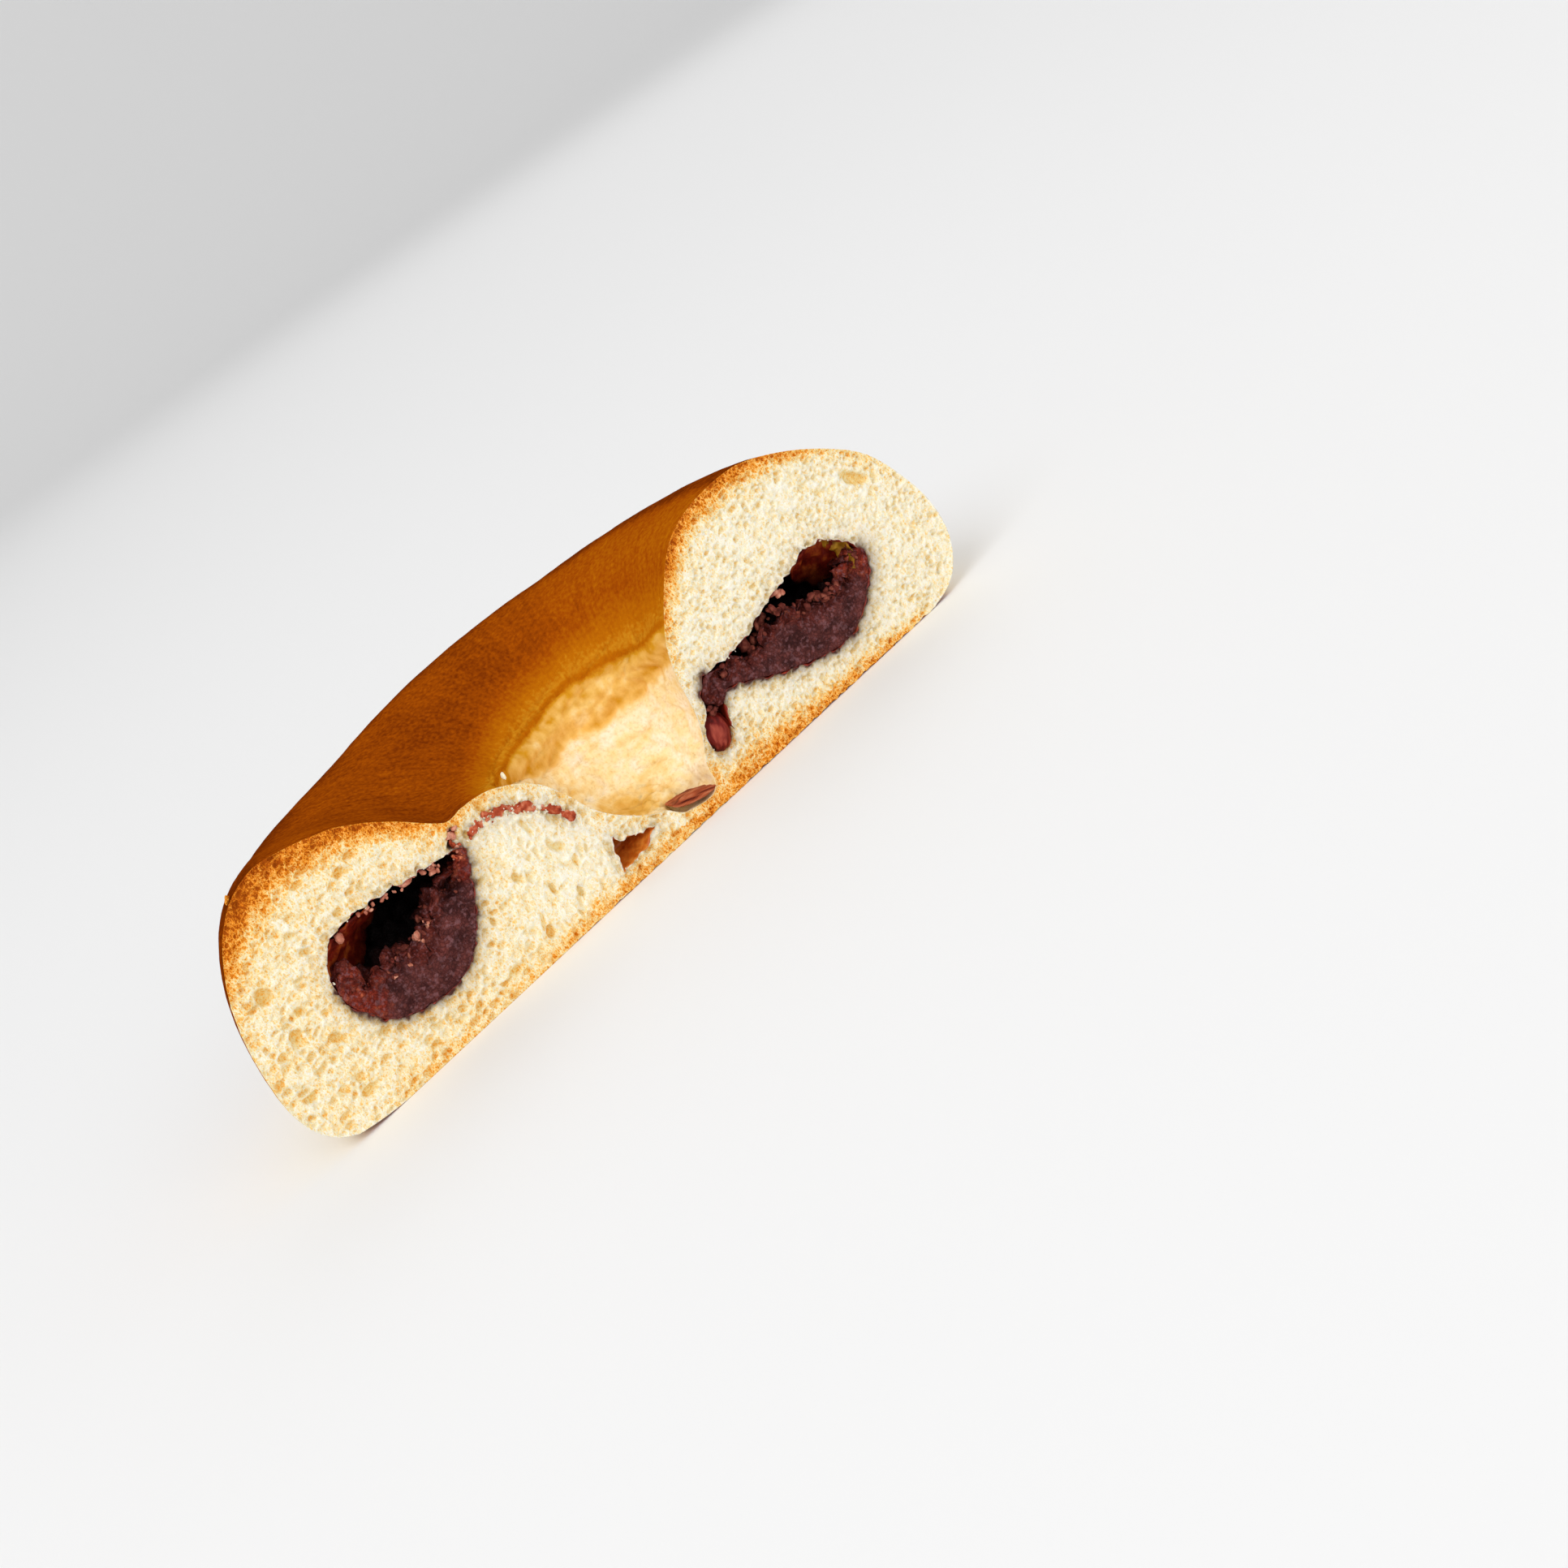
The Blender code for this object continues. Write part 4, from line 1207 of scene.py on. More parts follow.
def vector_sum(group, operation, first, second, socket=1):
    """The result of one sum with vectors, whose second part goes to the given socket."""
    node = group.nodes.new("ShaderNodeVectorMath")
    node.operation = operation
    group.links.new(first, node.inputs[0])
    group.links.new(second, node.inputs[socket])
    return node.outputs["Vector"]


def stretched_place(group, given):
    """The place on the object, stretched and counted in lumps of the given size."""
    place = group.nodes.new("ShaderNodeTexCoord").outputs["Object"]
    stretched = vector_sum(group, "MULTIPLY", place, given["Stretch"])
    count = reckon(group, "DIVIDE", 1.0 / MM, given["Size"])
    return vector_sum(group, "SCALE", stretched, count, "Scale")


def placed_group(tree, group, values):
    """Places a group in a material with these values."""
    node = tree.nodes.new("ShaderNodeGroup")
    node.node_tree = group
    for label, value in values.items():
        node.inputs[label].default_value = value
    return node.outputs[0]


def grain(tree, size, detail=3.0, stretch=NO_STRETCH):
    """Noise from 0 to 1 whose lumps are about size millimetres across."""
    values = {"Size": size, "Detail": detail, "Stretch": stretch}
    return placed_group(tree, grain_group, values)


grain_group, given, grain_out = new_group("grain", (
    ("Size", "NodeSocketFloat", 1.0), ("Detail", "NodeSocketFloat", 2.0),
    ("Stretch", "NodeSocketVector", NO_STRETCH)), "Grain")
grain_noise = grain_group.nodes.new("ShaderNodeTexNoise")
grain_noise.inputs["Scale"].default_value = 1.0
grain_group.links.new(stretched_place(grain_group, given), grain_noise.inputs["Vector"])
grain_group.links.new(given["Detail"], grain_noise.inputs["Detail"])
grain_group.links.new(grain_noise.outputs["Fac"], grain_out)
print("node group for grain has", len(grain_group.nodes), "nodes")

# %% [markdown]
# Small cells are the cells of a Voronoi texture, read at a place that noise has shifted, so that
# their walls are ragged.

# %% Node group for small cells
SHIFT_SCALE = 1.7
WALL_SHARPNESS = 3.2


def cells(tree, size, raggedness, stretch=NO_STRETCH):
    """0 on the walls of small cells and 1 in the middle of each, about size millimetres apart."""
    values = {"Size": size, "Raggedness": raggedness, "Stretch": stretch}
    return placed_group(tree, cells_group, values)


cells_group, given, cells_out = new_group("small_cells", (
    ("Size", "NodeSocketFloat", 1.0), ("Raggedness", "NodeSocketFloat", 0.6),
    ("Stretch", "NodeSocketVector", NO_STRETCH)), "Cells")
cell_place = stretched_place(cells_group, given)
cell_shift = cells_group.nodes.new("ShaderNodeTexNoise")
cell_shift.inputs["Scale"].default_value = SHIFT_SCALE
cells_group.links.new(cell_place, cell_shift.inputs["Vector"])
shift = vector_sum(
    cells_group, "SCALE", cell_shift.outputs["Color"], given["Raggedness"], "Scale")
cell_walls = cells_group.nodes.new("ShaderNodeTexVoronoi")
cell_walls.feature = "DISTANCE_TO_EDGE"
cell_walls.inputs["Scale"].default_value = 1.0
cells_group.links.new(
    vector_sum(cells_group, "ADD", cell_place, shift), cell_walls.inputs["Vector"])
from_wall = reckon(cells_group, "MULTIPLY", cell_walls.outputs["Distance"], WALL_SHARPNESS)
cells_group.links.new(reckon(cells_group, "MINIMUM", from_wall, 1.0), cells_out)
print("node groups:", [group.name for group in bpy.data.node_groups])

# %% [markdown]
# Where the dough was stretched round the dimple the crust is streaked. So one noise is read along
# the angle and the radius instead of along x and y.

# %% Streaks of the crust
STREAK_WIDTH, STREAK_LENGTH, STREAK_RADIUS = 0.7, 6.0, 25.0


def streaks_round_dimple(tree):
    """Noise from 0 to 1 that is drawn out towards the dimple's middle."""
    corner = tree.nodes.new("ShaderNodeSeparateXYZ")
    tree.links.new(tree.nodes.new("ShaderNodeTexCoord").outputs["Object"], corner.inputs[0])
    across = reckon(tree, "SUBTRACT", corner.outputs["X"], DIMPLE_X * MM)
    back = reckon(tree, "SUBTRACT", corner.outputs["Y"], CUT_Y)
    angle = reckon(tree, "ARCTAN2", back, across)
    back_squared = reckon(tree, "MULTIPLY", back, back)
    radius = reckon(tree, "SQRT", reckon(tree, "MULTIPLY_ADD", across, across, back_squared))
    polar = tree.nodes.new("ShaderNodeCombineXYZ")
    for label, value, scale in (
            ("X", angle, STREAK_RADIUS / STREAK_WIDTH),
            ("Y", radius, 1.0 / (STREAK_LENGTH * MM)),
            ("Z", corner.outputs["Z"], 1.0 / (STREAK_LENGTH * MM))):
        feed(tree, polar.inputs[label], reckon(tree, "MULTIPLY", value, scale))
    streaked = tree.nodes.new("ShaderNodeTexNoise")
    streaked.inputs["Scale"].default_value = 1.0
    streaked.inputs["Detail"].default_value = 3.0
    tree.links.new(polar.outputs["Vector"], streaked.inputs["Vector"])
    return streaked.outputs["Fac"]


crust_look, tree, shader = new_look("baked_crust", roughness=0.6, specular=0.0)
streaked = streaks_round_dimple(tree)
print("nodes for the streaks:", len(tree.nodes))

# %% [markdown]
# Crust is painted by its browning: pale dough, gold, ochre, then deeper and deeper brown. Grain of
# several sizes breaks the colour up, more so where it is brown. The pale skin of the dimple is
# dotted like unbaked dough. Nothing here is glossy.

# %% Look of the crust
CRUST_COLOURS = (
    (0.0, (255, 240, 214)), (0.1, (252, 226, 170)), (0.2, (240, 193, 107)), (0.32, (212, 149, 34)),
    (0.45, (186, 106, 8)), (0.65, (160, 74, 5)), (0.85, (122, 49, 4)), (1.0, (98, 38, 3)),
)
DOT_COLOURS = ((0.25, (214, 180, 122)), (0.48, (250, 242, 222)), (0.65, (255, 255, 255)))
PATCH_SIZE, FLECK_SIZE, DOT_SIZE, PIT_SIZE = 8.0, 0.5, 0.4, 0.6
PIT_DEPTH = 0.06

brown_value = read(tree, "brown")
patches = swing(tree, grain(tree, PATCH_SIZE, 4.0), 0.4)
flecks = swing(tree, grain(tree, FLECK_SIZE, 4.0), 0.6)
uneven = reckon(tree, "ADD", reckon(tree, "ADD", patches, flecks), swing(tree, streaked, 0.3))
fleck_share = reckon(tree, "MAXIMUM", reckon(tree, "MULTIPLY_ADD", brown_value, 1.5, -0.3), 0.08)
brown_here = reckon(tree, "MULTIPLY_ADD", uneven, fleck_share, brown_value)
dots = ramp(tree, grain(tree, DOT_SIZE, 5.0), DOT_COLOURS)
dot_share = reckon(tree, "MULTIPLY", mask(tree, brown_value, 0.05, 0.4, 1.0, 0.0), 0.5)
baked = ramp(tree, brown_here, CRUST_COLOURS)
feed(tree, shader.inputs["Base Color"], mixed(tree, dot_share, baked, dots, "MULTIPLY"))
bumps(tree, shader, reckon(tree, "ADD", grain(tree, PIT_SIZE), streaked), PIT_DEPTH)
print("nodes for the crust:", len(tree.nodes))

# %% [markdown]
# Crumb is a lace of cream walls round yellow cells. Its colour is one ramp from cream to the brown
# of the crust: the tint kept on the mesh says where on the ramp a place lies, walls lie a little
# before it and cells a little after it. So the crumb turns orange under the crust as the real one
# does, with its walls staying paler. Beside the paste it is stained, and light goes some way in.

# %% Lace of the crumb
TINT_SHARE = 0.9
LACE_SHARE = 0.36
BAKED_LACE_SHARE = 0.55
BUBBLE_SHADE_SHARE = 0.13
COARSE_SHARE, FINE_SHARE = 0.55, 0.45

crumb_look, tree, shader = new_look("open_crumb", roughness=0.85, specular=0.1)
in_bubble = mask(tree, read(tree, "pore"), 0.05, 0.6)
coarse_lace = reckon(tree, "MULTIPLY", cells(tree, 0.7, 1.5, (1.15, 1.0, 0.85)), COARSE_SHARE)
fine_lace = reckon(tree, "MULTIPLY", cells(tree, 0.34, 1.2, (1.2, 1.0, 0.8)), FINE_SHARE)
lace = reckon(tree, "ADD", coarse_lace, fine_lace)
lace = reckon(tree, "ADD", lace, swing(tree, grain(tree, 1.6), 0.9))
crust_value = read(tree, "crust")
lace_share = reckon(tree, "MULTIPLY_ADD", crust_value, BAKED_LACE_SHARE, LACE_SHARE)
tint = reckon(tree, "MULTIPLY", crust_value, TINT_SHARE)
tint = reckon(tree, "MULTIPLY_ADD", reckon(tree, "SUBTRACT", lace, 0.5), lace_share, tint)
# Painted shade: deeper bubbles are tinted darker.
tint = reckon(tree, "MULTIPLY_ADD", in_bubble, BUBBLE_SHADE_SHARE, tint)
print("nodes for the lace:", len(tree.nodes))

# %% [markdown]
# The tint runs through the ramp of the crumb's colours. Bubbles are painted a little darker as the
# shade inside them; stain and smear are laid over them, and the walls of the lace stand up a
# little.

# %% Look of the crumb
CRUMB_COLOURS = (
    (0.0, (255, 249, 232)), (0.2, (255, 235, 188)), (0.4, (254, 205, 118)),
    (0.62, (244, 156, 46)), (0.84, (218, 120, 18)), (1.0, (172, 82, 6)),
)
BUBBLE_SHADE_COLOUR, STAIN_COLOUR, SMEAR_COLOUR = (230, 212, 140), (126, 92, 52), (82, 48, 42)
LIGHT_REACH = 1.2
LACE_DEPTH = 0.07

# Painted shade in the bubbles, darker where they are deeper.
bubble_shade_share = reckon(tree, "MULTIPLY", in_bubble, 0.6)
crumb_colour = ramp(tree, tint, CRUMB_COLOURS)
bubble_shaded = mixed(tree, bubble_shade_share, crumb_colour, paint(*BUBBLE_SHADE_COLOUR), "MULTIPLY")
smudge = mask(tree, grain(tree, 0.8, 2.0), 0.35, 0.65, 0.15, 1.0)
stain_share = reckon(tree, "MULTIPLY", read(tree, "stain"), smudge)
stain_share = reckon(tree, "MULTIPLY", stain_share, 0.75)
stained = mixed(tree, stain_share, bubble_shaded, paint(*STAIN_COLOUR))
smeared_colour = mixed(tree, read(tree, "smear"), stained, paint(*SMEAR_COLOUR))
feed(tree, shader.inputs["Base Color"], smeared_colour)
shader.inputs["Subsurface Weight"].default_value = 0.2
shader.inputs["Subsurface Radius"].default_value = (1.0, 0.7, 0.4)
shader.inputs["Subsurface Scale"].default_value = LIGHT_REACH * MM
bumps(tree, shader, reckon(tree, "MULTIPLY", lace, -1.0), LACE_DEPTH)
print("nodes for the crumb:", len(tree.nodes))

# %% [markdown]
# The walls of the hollows are crumb that was pressed flat and soaked by the paste into a dark red
# film. It is painted darker with depth, nearly black, as the shade inside the hollows. The small
# gap by the base stayed dry, and is baked orange brown, also painted darker with depth as shade.

# %% Look of the hollow walls
SOAKED_COLOURS = ((0.35, (116, 22, 8)), (0.6, (156, 44, 14)), (0.75, (186, 100, 24)))
DRY_COLOURS = ((0.35, (196, 98, 10)), (0.7, (236, 150, 52)))
SOAKED_IN_SHADE, DRY_IN_SHADE = (16, 3, 2), (168, 72, 4)

hollow_look, tree, shader = new_look("soaked_wall", roughness=0.5)
# Painted shade: both the soaked and the dry colours darken with depth.
shade_by_depth = read(tree, "deep")
soaked = mixed(
    tree, shade_by_depth, ramp(tree, grain(tree, 2.2), SOAKED_COLOURS), paint(*SOAKED_IN_SHADE))
dry = mixed(tree, shade_by_depth, ramp(tree, grain(tree, 1.0), DRY_COLOURS), paint(*DRY_IN_SHADE))
feed(tree, shader.inputs["Base Color"], mixed(tree, read(tree, "dry"), soaked, dry))
bumps(tree, shader, grain(tree, 0.6), 0.15)
print("nodes for the hollow walls:", len(tree.nodes))

# %% [markdown]
# A face belongs to the cut when all its corners are crumb or lie on its edge, to the hollows when
# a corner is a hollow's, and else to the crust. The nest of the bean is plain crumb too.

# %% Give each face of the bread its look
bread.data.materials.clear()
for look in (crust_look, crumb_look, hollow_look):
    bread.data.materials.append(look)
in_cut = faces_with(bread, is_crumb | is_rim | under_bean, True)
in_hollow = faces_with(bread, is_hollow, False) & ~in_cut
bread.data.polygons.foreach_set("material_index", np.where(in_cut, 1, np.where(in_hollow, 2, 0)))
smooth(bread)
bread.data.update()
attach(bread, "root")
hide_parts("bread")
print("faces of the cut", in_cut.sum(), "of hollows", in_hollow.sum(), "of all", len(in_cut))

# %% [markdown]
# The paste filled its tunnel, then sank and left air above it. It gets the same treatment as the
# bread: drawn out, remeshed and cut again with a fine grid. Where it lies against the bread it is
# pressed a little outwards, until it touches, and its free top is broken into flat ledges.

# %% Shape of the paste
PASTE_VOXEL = 0.5
PASTE_GRID = 0.22
TOUCH_START, TOUCH_END = 0.55, 1.1
PRESSED_OUT = 0.4
LEDGE_STEPS, LEDGE_SIZE, LEDGE_HEIGHT = 3.0, 2.2, 1.4


def ledges(places, size, seed):
    """Flat steps from 0 to 1 with crisp edges between them, like something broken."""
    height = LEDGE_STEPS * (0.5 + noise_at(places, size, seed))
    height += 0.8 * noise_at(places, size / 3.0, seed + 1)
    step = np.floor(height)
    return (step + ease((height - step - 0.35) / 0.3)) / LEDGE_STEPS


def fine_cut(piece, voxel, grid):
    """Remeshes a piece evenly and makes its cut face anew, with a fine grid."""
    draw_out(piece, DRAWN_OUT)
    remesh(piece, voxel)
    points = points_of(piece)
    cut_away(piece, fine_block(Vector(points.min(axis=0)), Vector(points.max(axis=0)), grid))
    piece.data.materials.clear()
    smooth(piece)
    points = points_of(piece)
    return points, in_cut_plane(points)


paste = copy_of("paste", "red_bean_paste")
paste_points, paste_front = fine_cut(paste, PASTE_VOXEL, PASTE_GRID)
paste_places = to_dimple(paste_points)
to_bread = distance_to(bread, paste_points)
touching = 1.0 - ease((to_bread - TOUCH_START) / (TOUCH_END - TOUCH_START))
broken = 1.3 * ledges(paste_places, LEDGE_SIZE, SEED) - 0.6
broken += 0.5 * noise_at(paste_places, 0.9, SEED + 8)
free = (1.0 - touching) * np.where(paste_front, 0.0, 1.0)
push = touching * PRESSED_OUT + free * LEDGE_HEIGHT * broken
push_along = normals_of(paste)
push_along[paste_front, 1] = 0.0
paste_points += push_along * push[:, None] * MM
print("share of the paste that touches the bread:", round(float(touching.mean()), 2))

# %% [markdown]
# Near the free top the paste is torn sideways and broken back in ledges, and its cut face is
# grainy all over. At two places the top edge has worn back, and the worn-back face is painted dark
# as shade. Behind the cut the free paste in the right half has sunk.

# %% Torn top of the paste
TORN_TOP, TORN_BACK = 1.5, 1.1
TOP_REACH, TOP_REACH_BEHIND = 1.8, 3.5
PASTE_GRAIN = 0.14
WORN_EDGES = (
    (((-28.0, 16.2), (-27.6, 16.0)), 1.3, 2.6),
    (((32.4, 13.0), (34.5, 12.9), (36.4, 12.6), (38.2, 12.7), (39.5, 13.7)), 1.2, 4.0),
)
SUNK, SUNK_START, SUNK_BEHIND = 1.4, 5.0, 4.0

front_places = paste_places[paste_front]
top_distance, _ = nearest_on(front_places, paste_places[(touching < 0.3) & ~paste_front])
near_top = ease(1.0 - paste_places[:, 1] / TOP_REACH_BEHIND)
near_top[paste_front] = peak(top_distance, TOP_REACH)
near_top *= 1.0 - touching
flat_paste = paste_places * np.array((1.0, 0.0, 1.0))
for axis, seed in ((0, SEED + 30), (2, SEED + 32)):
    sway = two_noises(flat_paste, 1.9, 0.8, 0.45, seed)
    paste_points[:, axis] += TORN_TOP * near_top * sway * MM
paste_grain = two_noises(paste_places, 0.8, 0.45, 0.7, SEED + 9)
shards = paste_places * np.array((0.7, 1.0, 1.25))
recess = PASTE_GRAIN * np.maximum(paste_grain + 1.0, 0.0)
recess += TORN_BACK * near_top * ledges(shards, 1.5, SEED + 36)
paste_points[:, 1] += np.where(paste_front, recess * (1.0 - 0.6 * touching), 0.0) * MM
paste_points[:, 1] = np.maximum(paste_points[:, 1], CUT_Y)
# The worn-back places are also kept for painted shade.
worn_and_shaded = np.zeros(len(paste_points))
for line, reach, depth in WORN_EDGES:
    near_line = on_points(paste_front, peak(distance_to_line(front_places, line), reach))
    worn_and_shaded = np.maximum(worn_and_shaded, near_line)
    paste_points[:, 1] += depth * near_line * MM
sunk = ease((paste_places[:, 0] - SUNK_START) / 5.0) * ease(paste_places[:, 1] / SUNK_BEHIND)
paste_points[:, 2] -= SUNK * (1.0 - touching) * sunk * MM
set_points(paste, paste_points)
print("paste has", triangles_of(paste), "triangles")

# %% [markdown]
# Four numbers are kept for the colour of the paste: where the knife smeared it, where it lies thin
# and red on the bread, where it is cracked, and how deep a place lies, which sets the painted shade
# behind the cut and on the worn-back edges.

# %% Keep the numbers of the paste
RED_PLACES = ((42.0, 13.5, 4.2), (-44.5, 12.0, 3.6), (-25.0, 17.0, 2.6))
SMEAR_START, SMEAR_RISE = 0.4, 1.6
SHADE_START, SHADE_RISE = 0.6, 5.0


def cracked(places, size, seed):
    """Lumps from 0 to 1 with sharp valleys between them, about size millimetres across."""
    shift = Vector((seed * 5.1, seed * 9.7, seed * 2.3))
    hits = (noise.voronoi(Vector(place) / size + shift)[0] for place in places)
    return np.array([min(1.0, 1.6 * (hit[1] - hit[0])) for hit in hits])


from_top = top_distance + 0.8 * paste_grain[paste_front]
ruddy = np.zeros(len(paste_points))
for x, z, reach in RED_PLACES:
    away = np.hypot(paste_places[:, 0] - x, paste_places[:, 2] - z) / reach + 0.25 * paste_grain
    ruddy = np.maximum(ruddy, 1.0 - ease((away - 0.6) / 0.6))
set_value(paste, "smeared", on_points(paste_front, ease((from_top - SMEAR_START) / SMEAR_RISE)))
set_value(paste, "ruddy", ruddy)
set_value(paste, "cracks", np.where(paste_front, 1.0 - cracked(shards, 1.5, SEED + 34), 0.0))
# Painted shade: darker behind the cut and on the worn-back edges.
shade_behind_cut = ease((paste_places[:, 1] - SHADE_START) / SHADE_RISE)
set_value(paste, "deep", np.where(paste_front, 0.8 * worn_and_shaded, shade_behind_cut))
print("points of red paste:", (ruddy > 0.5).sum())

# %% [markdown]
# Bean paste is a dark purple brown where the knife smeared it, redder where it broke, and red where
# it lies thin on the bread. Pale grey flecks are a painted sheen, and cracks are dark. Deep places
# and worn-back edges are painted nearly black, as shade.

# %% Look of the paste
PURPLE_PASTE = ((0.35, (68, 30, 28)), (0.65, (116, 60, 55)))
BROKEN_PASTE = ((0.35, (84, 26, 18)), (0.6, (116, 48, 38)), (0.8, (146, 76, 60)))
RED_PASTE = ((0.3, (92, 22, 14)), (0.52, (140, 48, 30)), (0.75, (192, 98, 66)))
MASH_SHADES = ((0.0, (186, 172, 180)), (0.35, (240, 236, 238)), (1.0, (255, 255, 255)))
SHEEN_FLECK_COLOUR, CRACK_COLOUR, PASTE_SHADE_COLOUR = (140, 96, 100), (34, 12, 12), (10, 3, 3)

paste_look, tree, shader = new_look("red_bean_paste", roughness=0.6, specular=0.1)
broken_colour = ramp(tree, grain(tree, 1.1), BROKEN_PASTE)
purple = ramp(tree, grain(tree, 2.2), PURPLE_PASTE)
paste_colour = mixed(tree, read(tree, "smeared"), broken_colour, purple)
red_colour = ramp(tree, grain(tree, 0.9), RED_PASTE)
paste_colour = mixed(tree, read(tree, "ruddy"), paste_colour, red_colour)
mash = cells(tree, 0.5, 0.8)
paste_colour = mixed(tree, 1.0, paste_colour, ramp(tree, mash, MASH_SHADES), "MULTIPLY")
# Painted sheen: pale grey flecks.
sheen_flecks = reckon(tree, "MULTIPLY", mask(tree, grain(tree, 0.5), 0.52, 0.66), 0.5)
paste_colour = mixed(tree, sheen_flecks, paste_colour, paint(*SHEEN_FLECK_COLOUR))
splits = reckon(tree, "MULTIPLY", mask(tree, read(tree, "cracks"), 0.55, 0.95), 0.3)
paste_colour = mixed(tree, splits, paste_colour, paint(*CRACK_COLOUR))
# Painted shade: deep places and worn-back edges turn nearly black.
paste_colour = mixed(tree, read(tree, "deep"), paste_colour, paint(*PASTE_SHADE_COLOUR))
feed(tree, shader.inputs["Base Color"], paste_colour)
bumps(tree, shader, reckon(tree, "MULTIPLY_ADD", mash, 0.5, grain(tree, 0.35, 4.0)), 0.18)
paste.data.materials.append(paste_look)
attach(paste, "root")
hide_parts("paste")
print("paste is dressed")

# %% [markdown]
# The small pieces have simple looks, whose colour follows either the grain or the ridges on the
# mesh; by the ridges, pale is painted light on them and dark is painted shade between them. So one
# helper makes such a look, and another gives it to a piece.

# %% Helpers for the small pieces
def small_look(name, colours, roughness, specular, grain_size=None, relief=None):
    """A look coloured by grain of a size, or else by ridges with painted light and shade, with a
    size and depth of relief.
    """
    look, tree, shader = new_look(name, roughness, specular)
    if grain_size:
        value = grain(tree, grain_size)
    else:
        # Painted light and shade: pale on the ridges, dark in the valleys between them.
        value = reckon(tree, "MULTIPLY_ADD", read(tree, "ridge"), 0.5, 0.5)
    feed(tree, shader.inputs["Base Color"], ramp(tree, value, colours))
    if relief:
        bumps(tree, shader, grain(tree, relief[0]), relief[1])
    return look


def roughened(node, name, voxel):
    """A finely remeshed copy of a solid, with its points and its normals."""
    piece = copy_of(node, name)
    remesh(piece, voxel)
    return piece, points_of(piece), normals_of(piece)


def dress(piece, node, look):
    """Gives a piece its look and lets it stand for a solid."""
    piece.data.materials.clear()
    piece.data.materials.append(look)
    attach(piece, "root")
    if node:
        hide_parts(node)


red_look = small_look(
    "red_paste_bits", ((0.3, (120, 38, 20)), (0.5, (178, 76, 46)), (0.72, (226, 146, 108))),
    0.6, 0.1, 0.9, (0.25, 0.08))
# Painted light and shade: pale ridges, dark valleys.
bean_look = small_look(
    "cooked_bean", ((0.2, (58, 8, 8)), (0.55, (116, 28, 22)), (0.9, (172, 76, 58))),
    0.45, 0.15, relief=(0.3, 0.05))
# Painted light and shade: pale on the folds, dark between them.
skin_look = small_look(
    "bean_skin", ((0.2, (88, 26, 12)), (0.5, (166, 78, 44)), (0.85, (206, 130, 90))), 0.5, 0.1)
print("looks so far:", len(bpy.data.materials))

# %% [markdown]
# Under the skin of the hump a little paste was squeezed into a thin streak. Its solid is a plain
# band, so the copy is remeshed finely and roughened until its edge is as ragged as a real smear.

# %% The streak of paste
SMALL_VOXEL = 0.2
STREAK_SWAY, STREAK_LUMPS = 0.55, 0.25
STREAK_RECESS = 0.5

streak, streak_points, streak_normals = roughened("paste_streak", "squeezed_streak", SMALL_VOXEL)
streak_places = to_dimple(streak_points)
ragged = STREAK_SWAY * noise_at(streak_places, 1.3, SEED + 11)
ragged += STREAK_LUMPS * cracked(streak_places, 0.6, SEED + 12)
streak_points += streak_normals * ragged[:, None] * MM
streak_front = streak_places[:, 1] < 0.3
hidden = STREAK_RECESS * noise_at(streak_places[streak_front], 0.9, SEED + 14)
streak_points[streak_front, 1] += np.maximum(hidden, 0.0) * MM
streak_points[:, 1] = np.maximum(streak_points[:, 1], CUT_Y)
set_points(streak, streak_points)
dress(streak, "paste_streak", red_look)
print("streak has", triangles_of(streak), "triangles")

# %% [markdown]
# One whole bean lies at the foot of the right tunnel. A cooked bean is glossy and wrinkled: its
# skin runs in fine ridges from end to end, and the ridges are painted paler than the valleys, as
# light on the ridges and shade between them.

# %% The bean
BEAN_GROWTH = 1.42
BEAN_SHIFT = (-0.2, 0.0, 0.2)
BEAN_RIDGES = 0.16


def ridges_along(places, direction, size, seed):
    """Ridges from -1 to 1 that run along a direction."""
    direction = np.array(direction) / np.linalg.norm(direction)
    along = places @ direction
    squeezed = places - 0.82 * along[:, None] * direction
    return two_noises(squeezed, size, size / 2, 0.5, seed)


bean, bean_points, bean_normals = roughened("bean", "whole_bean", SMALL_VOXEL)
middle = bean_points.mean(axis=0)
bean_points = middle + (bean_points - middle) * np.array((BEAN_GROWTH, 1.0, BEAN_GROWTH))
bean_points += np.array(BEAN_SHIFT) * MM
bean_ridge = ridges_along(to_dimple(bean_points), (0.35, 0.0, 1.0), 0.55, SEED + 13)
bean_points += bean_normals * (BEAN_RIDGES * bean_ridge)[:, None] * MM
bean_points[:, 1] = np.maximum(bean_points[:, 1], CUT_Y)
set_points(bean, bean_points)
set_value(bean, "ridge", bean_ridge)
dress(bean, "bean", bean_look)
print("bean has", triangles_of(bean), "triangles")

# %% [markdown]
# One loose piece of bean skin lies under the dimple. It is folded along its length, and its folds
# are painted paler on top and darker between, as light and shade.

# %% The bean skin
SKIN_PIECE_VOXEL = 0.18
SKIN_FOLDS = 0.22
SKIN_ACROSS = (0.305, 0.0, 0.952)
SKIN_FLATNESS = 0.6

bean_skin, skin_points, skin_normals = roughened("bean_skin", "loose_skin", SKIN_PIECE_VOXEL)
skin_ridge = ridges_along(to_dimple(skin_points), (1.0, 0.0, -0.35), 0.5, SEED + 15)
skin_points += skin_normals * (SKIN_FOLDS * skin_ridge)[:, None] * MM
across_skin = np.array(Vector(SKIN_ACROSS))
height = (skin_points - skin_points.mean(axis=0)) @ across_skin
skin_points -= (1.0 - SKIN_FLATNESS) * height[:, None] * across_skin
set_points(bean_skin, skin_points)
set_value(bean_skin, "ridge", skin_ridge)
dress(bean_skin, "bean_skin", skin_look)
print("skin has", triangles_of(bean_skin), "triangles")

# %% [markdown]
# Broken paste leaves bits behind: along its own top edge, on the rim of the tunnel, in the crack
# and in the streak. They are strewn along lines that follow those edges. Each row below gives a
# line, the number of bits, their spread, smallest and largest size, and how far in they lie.

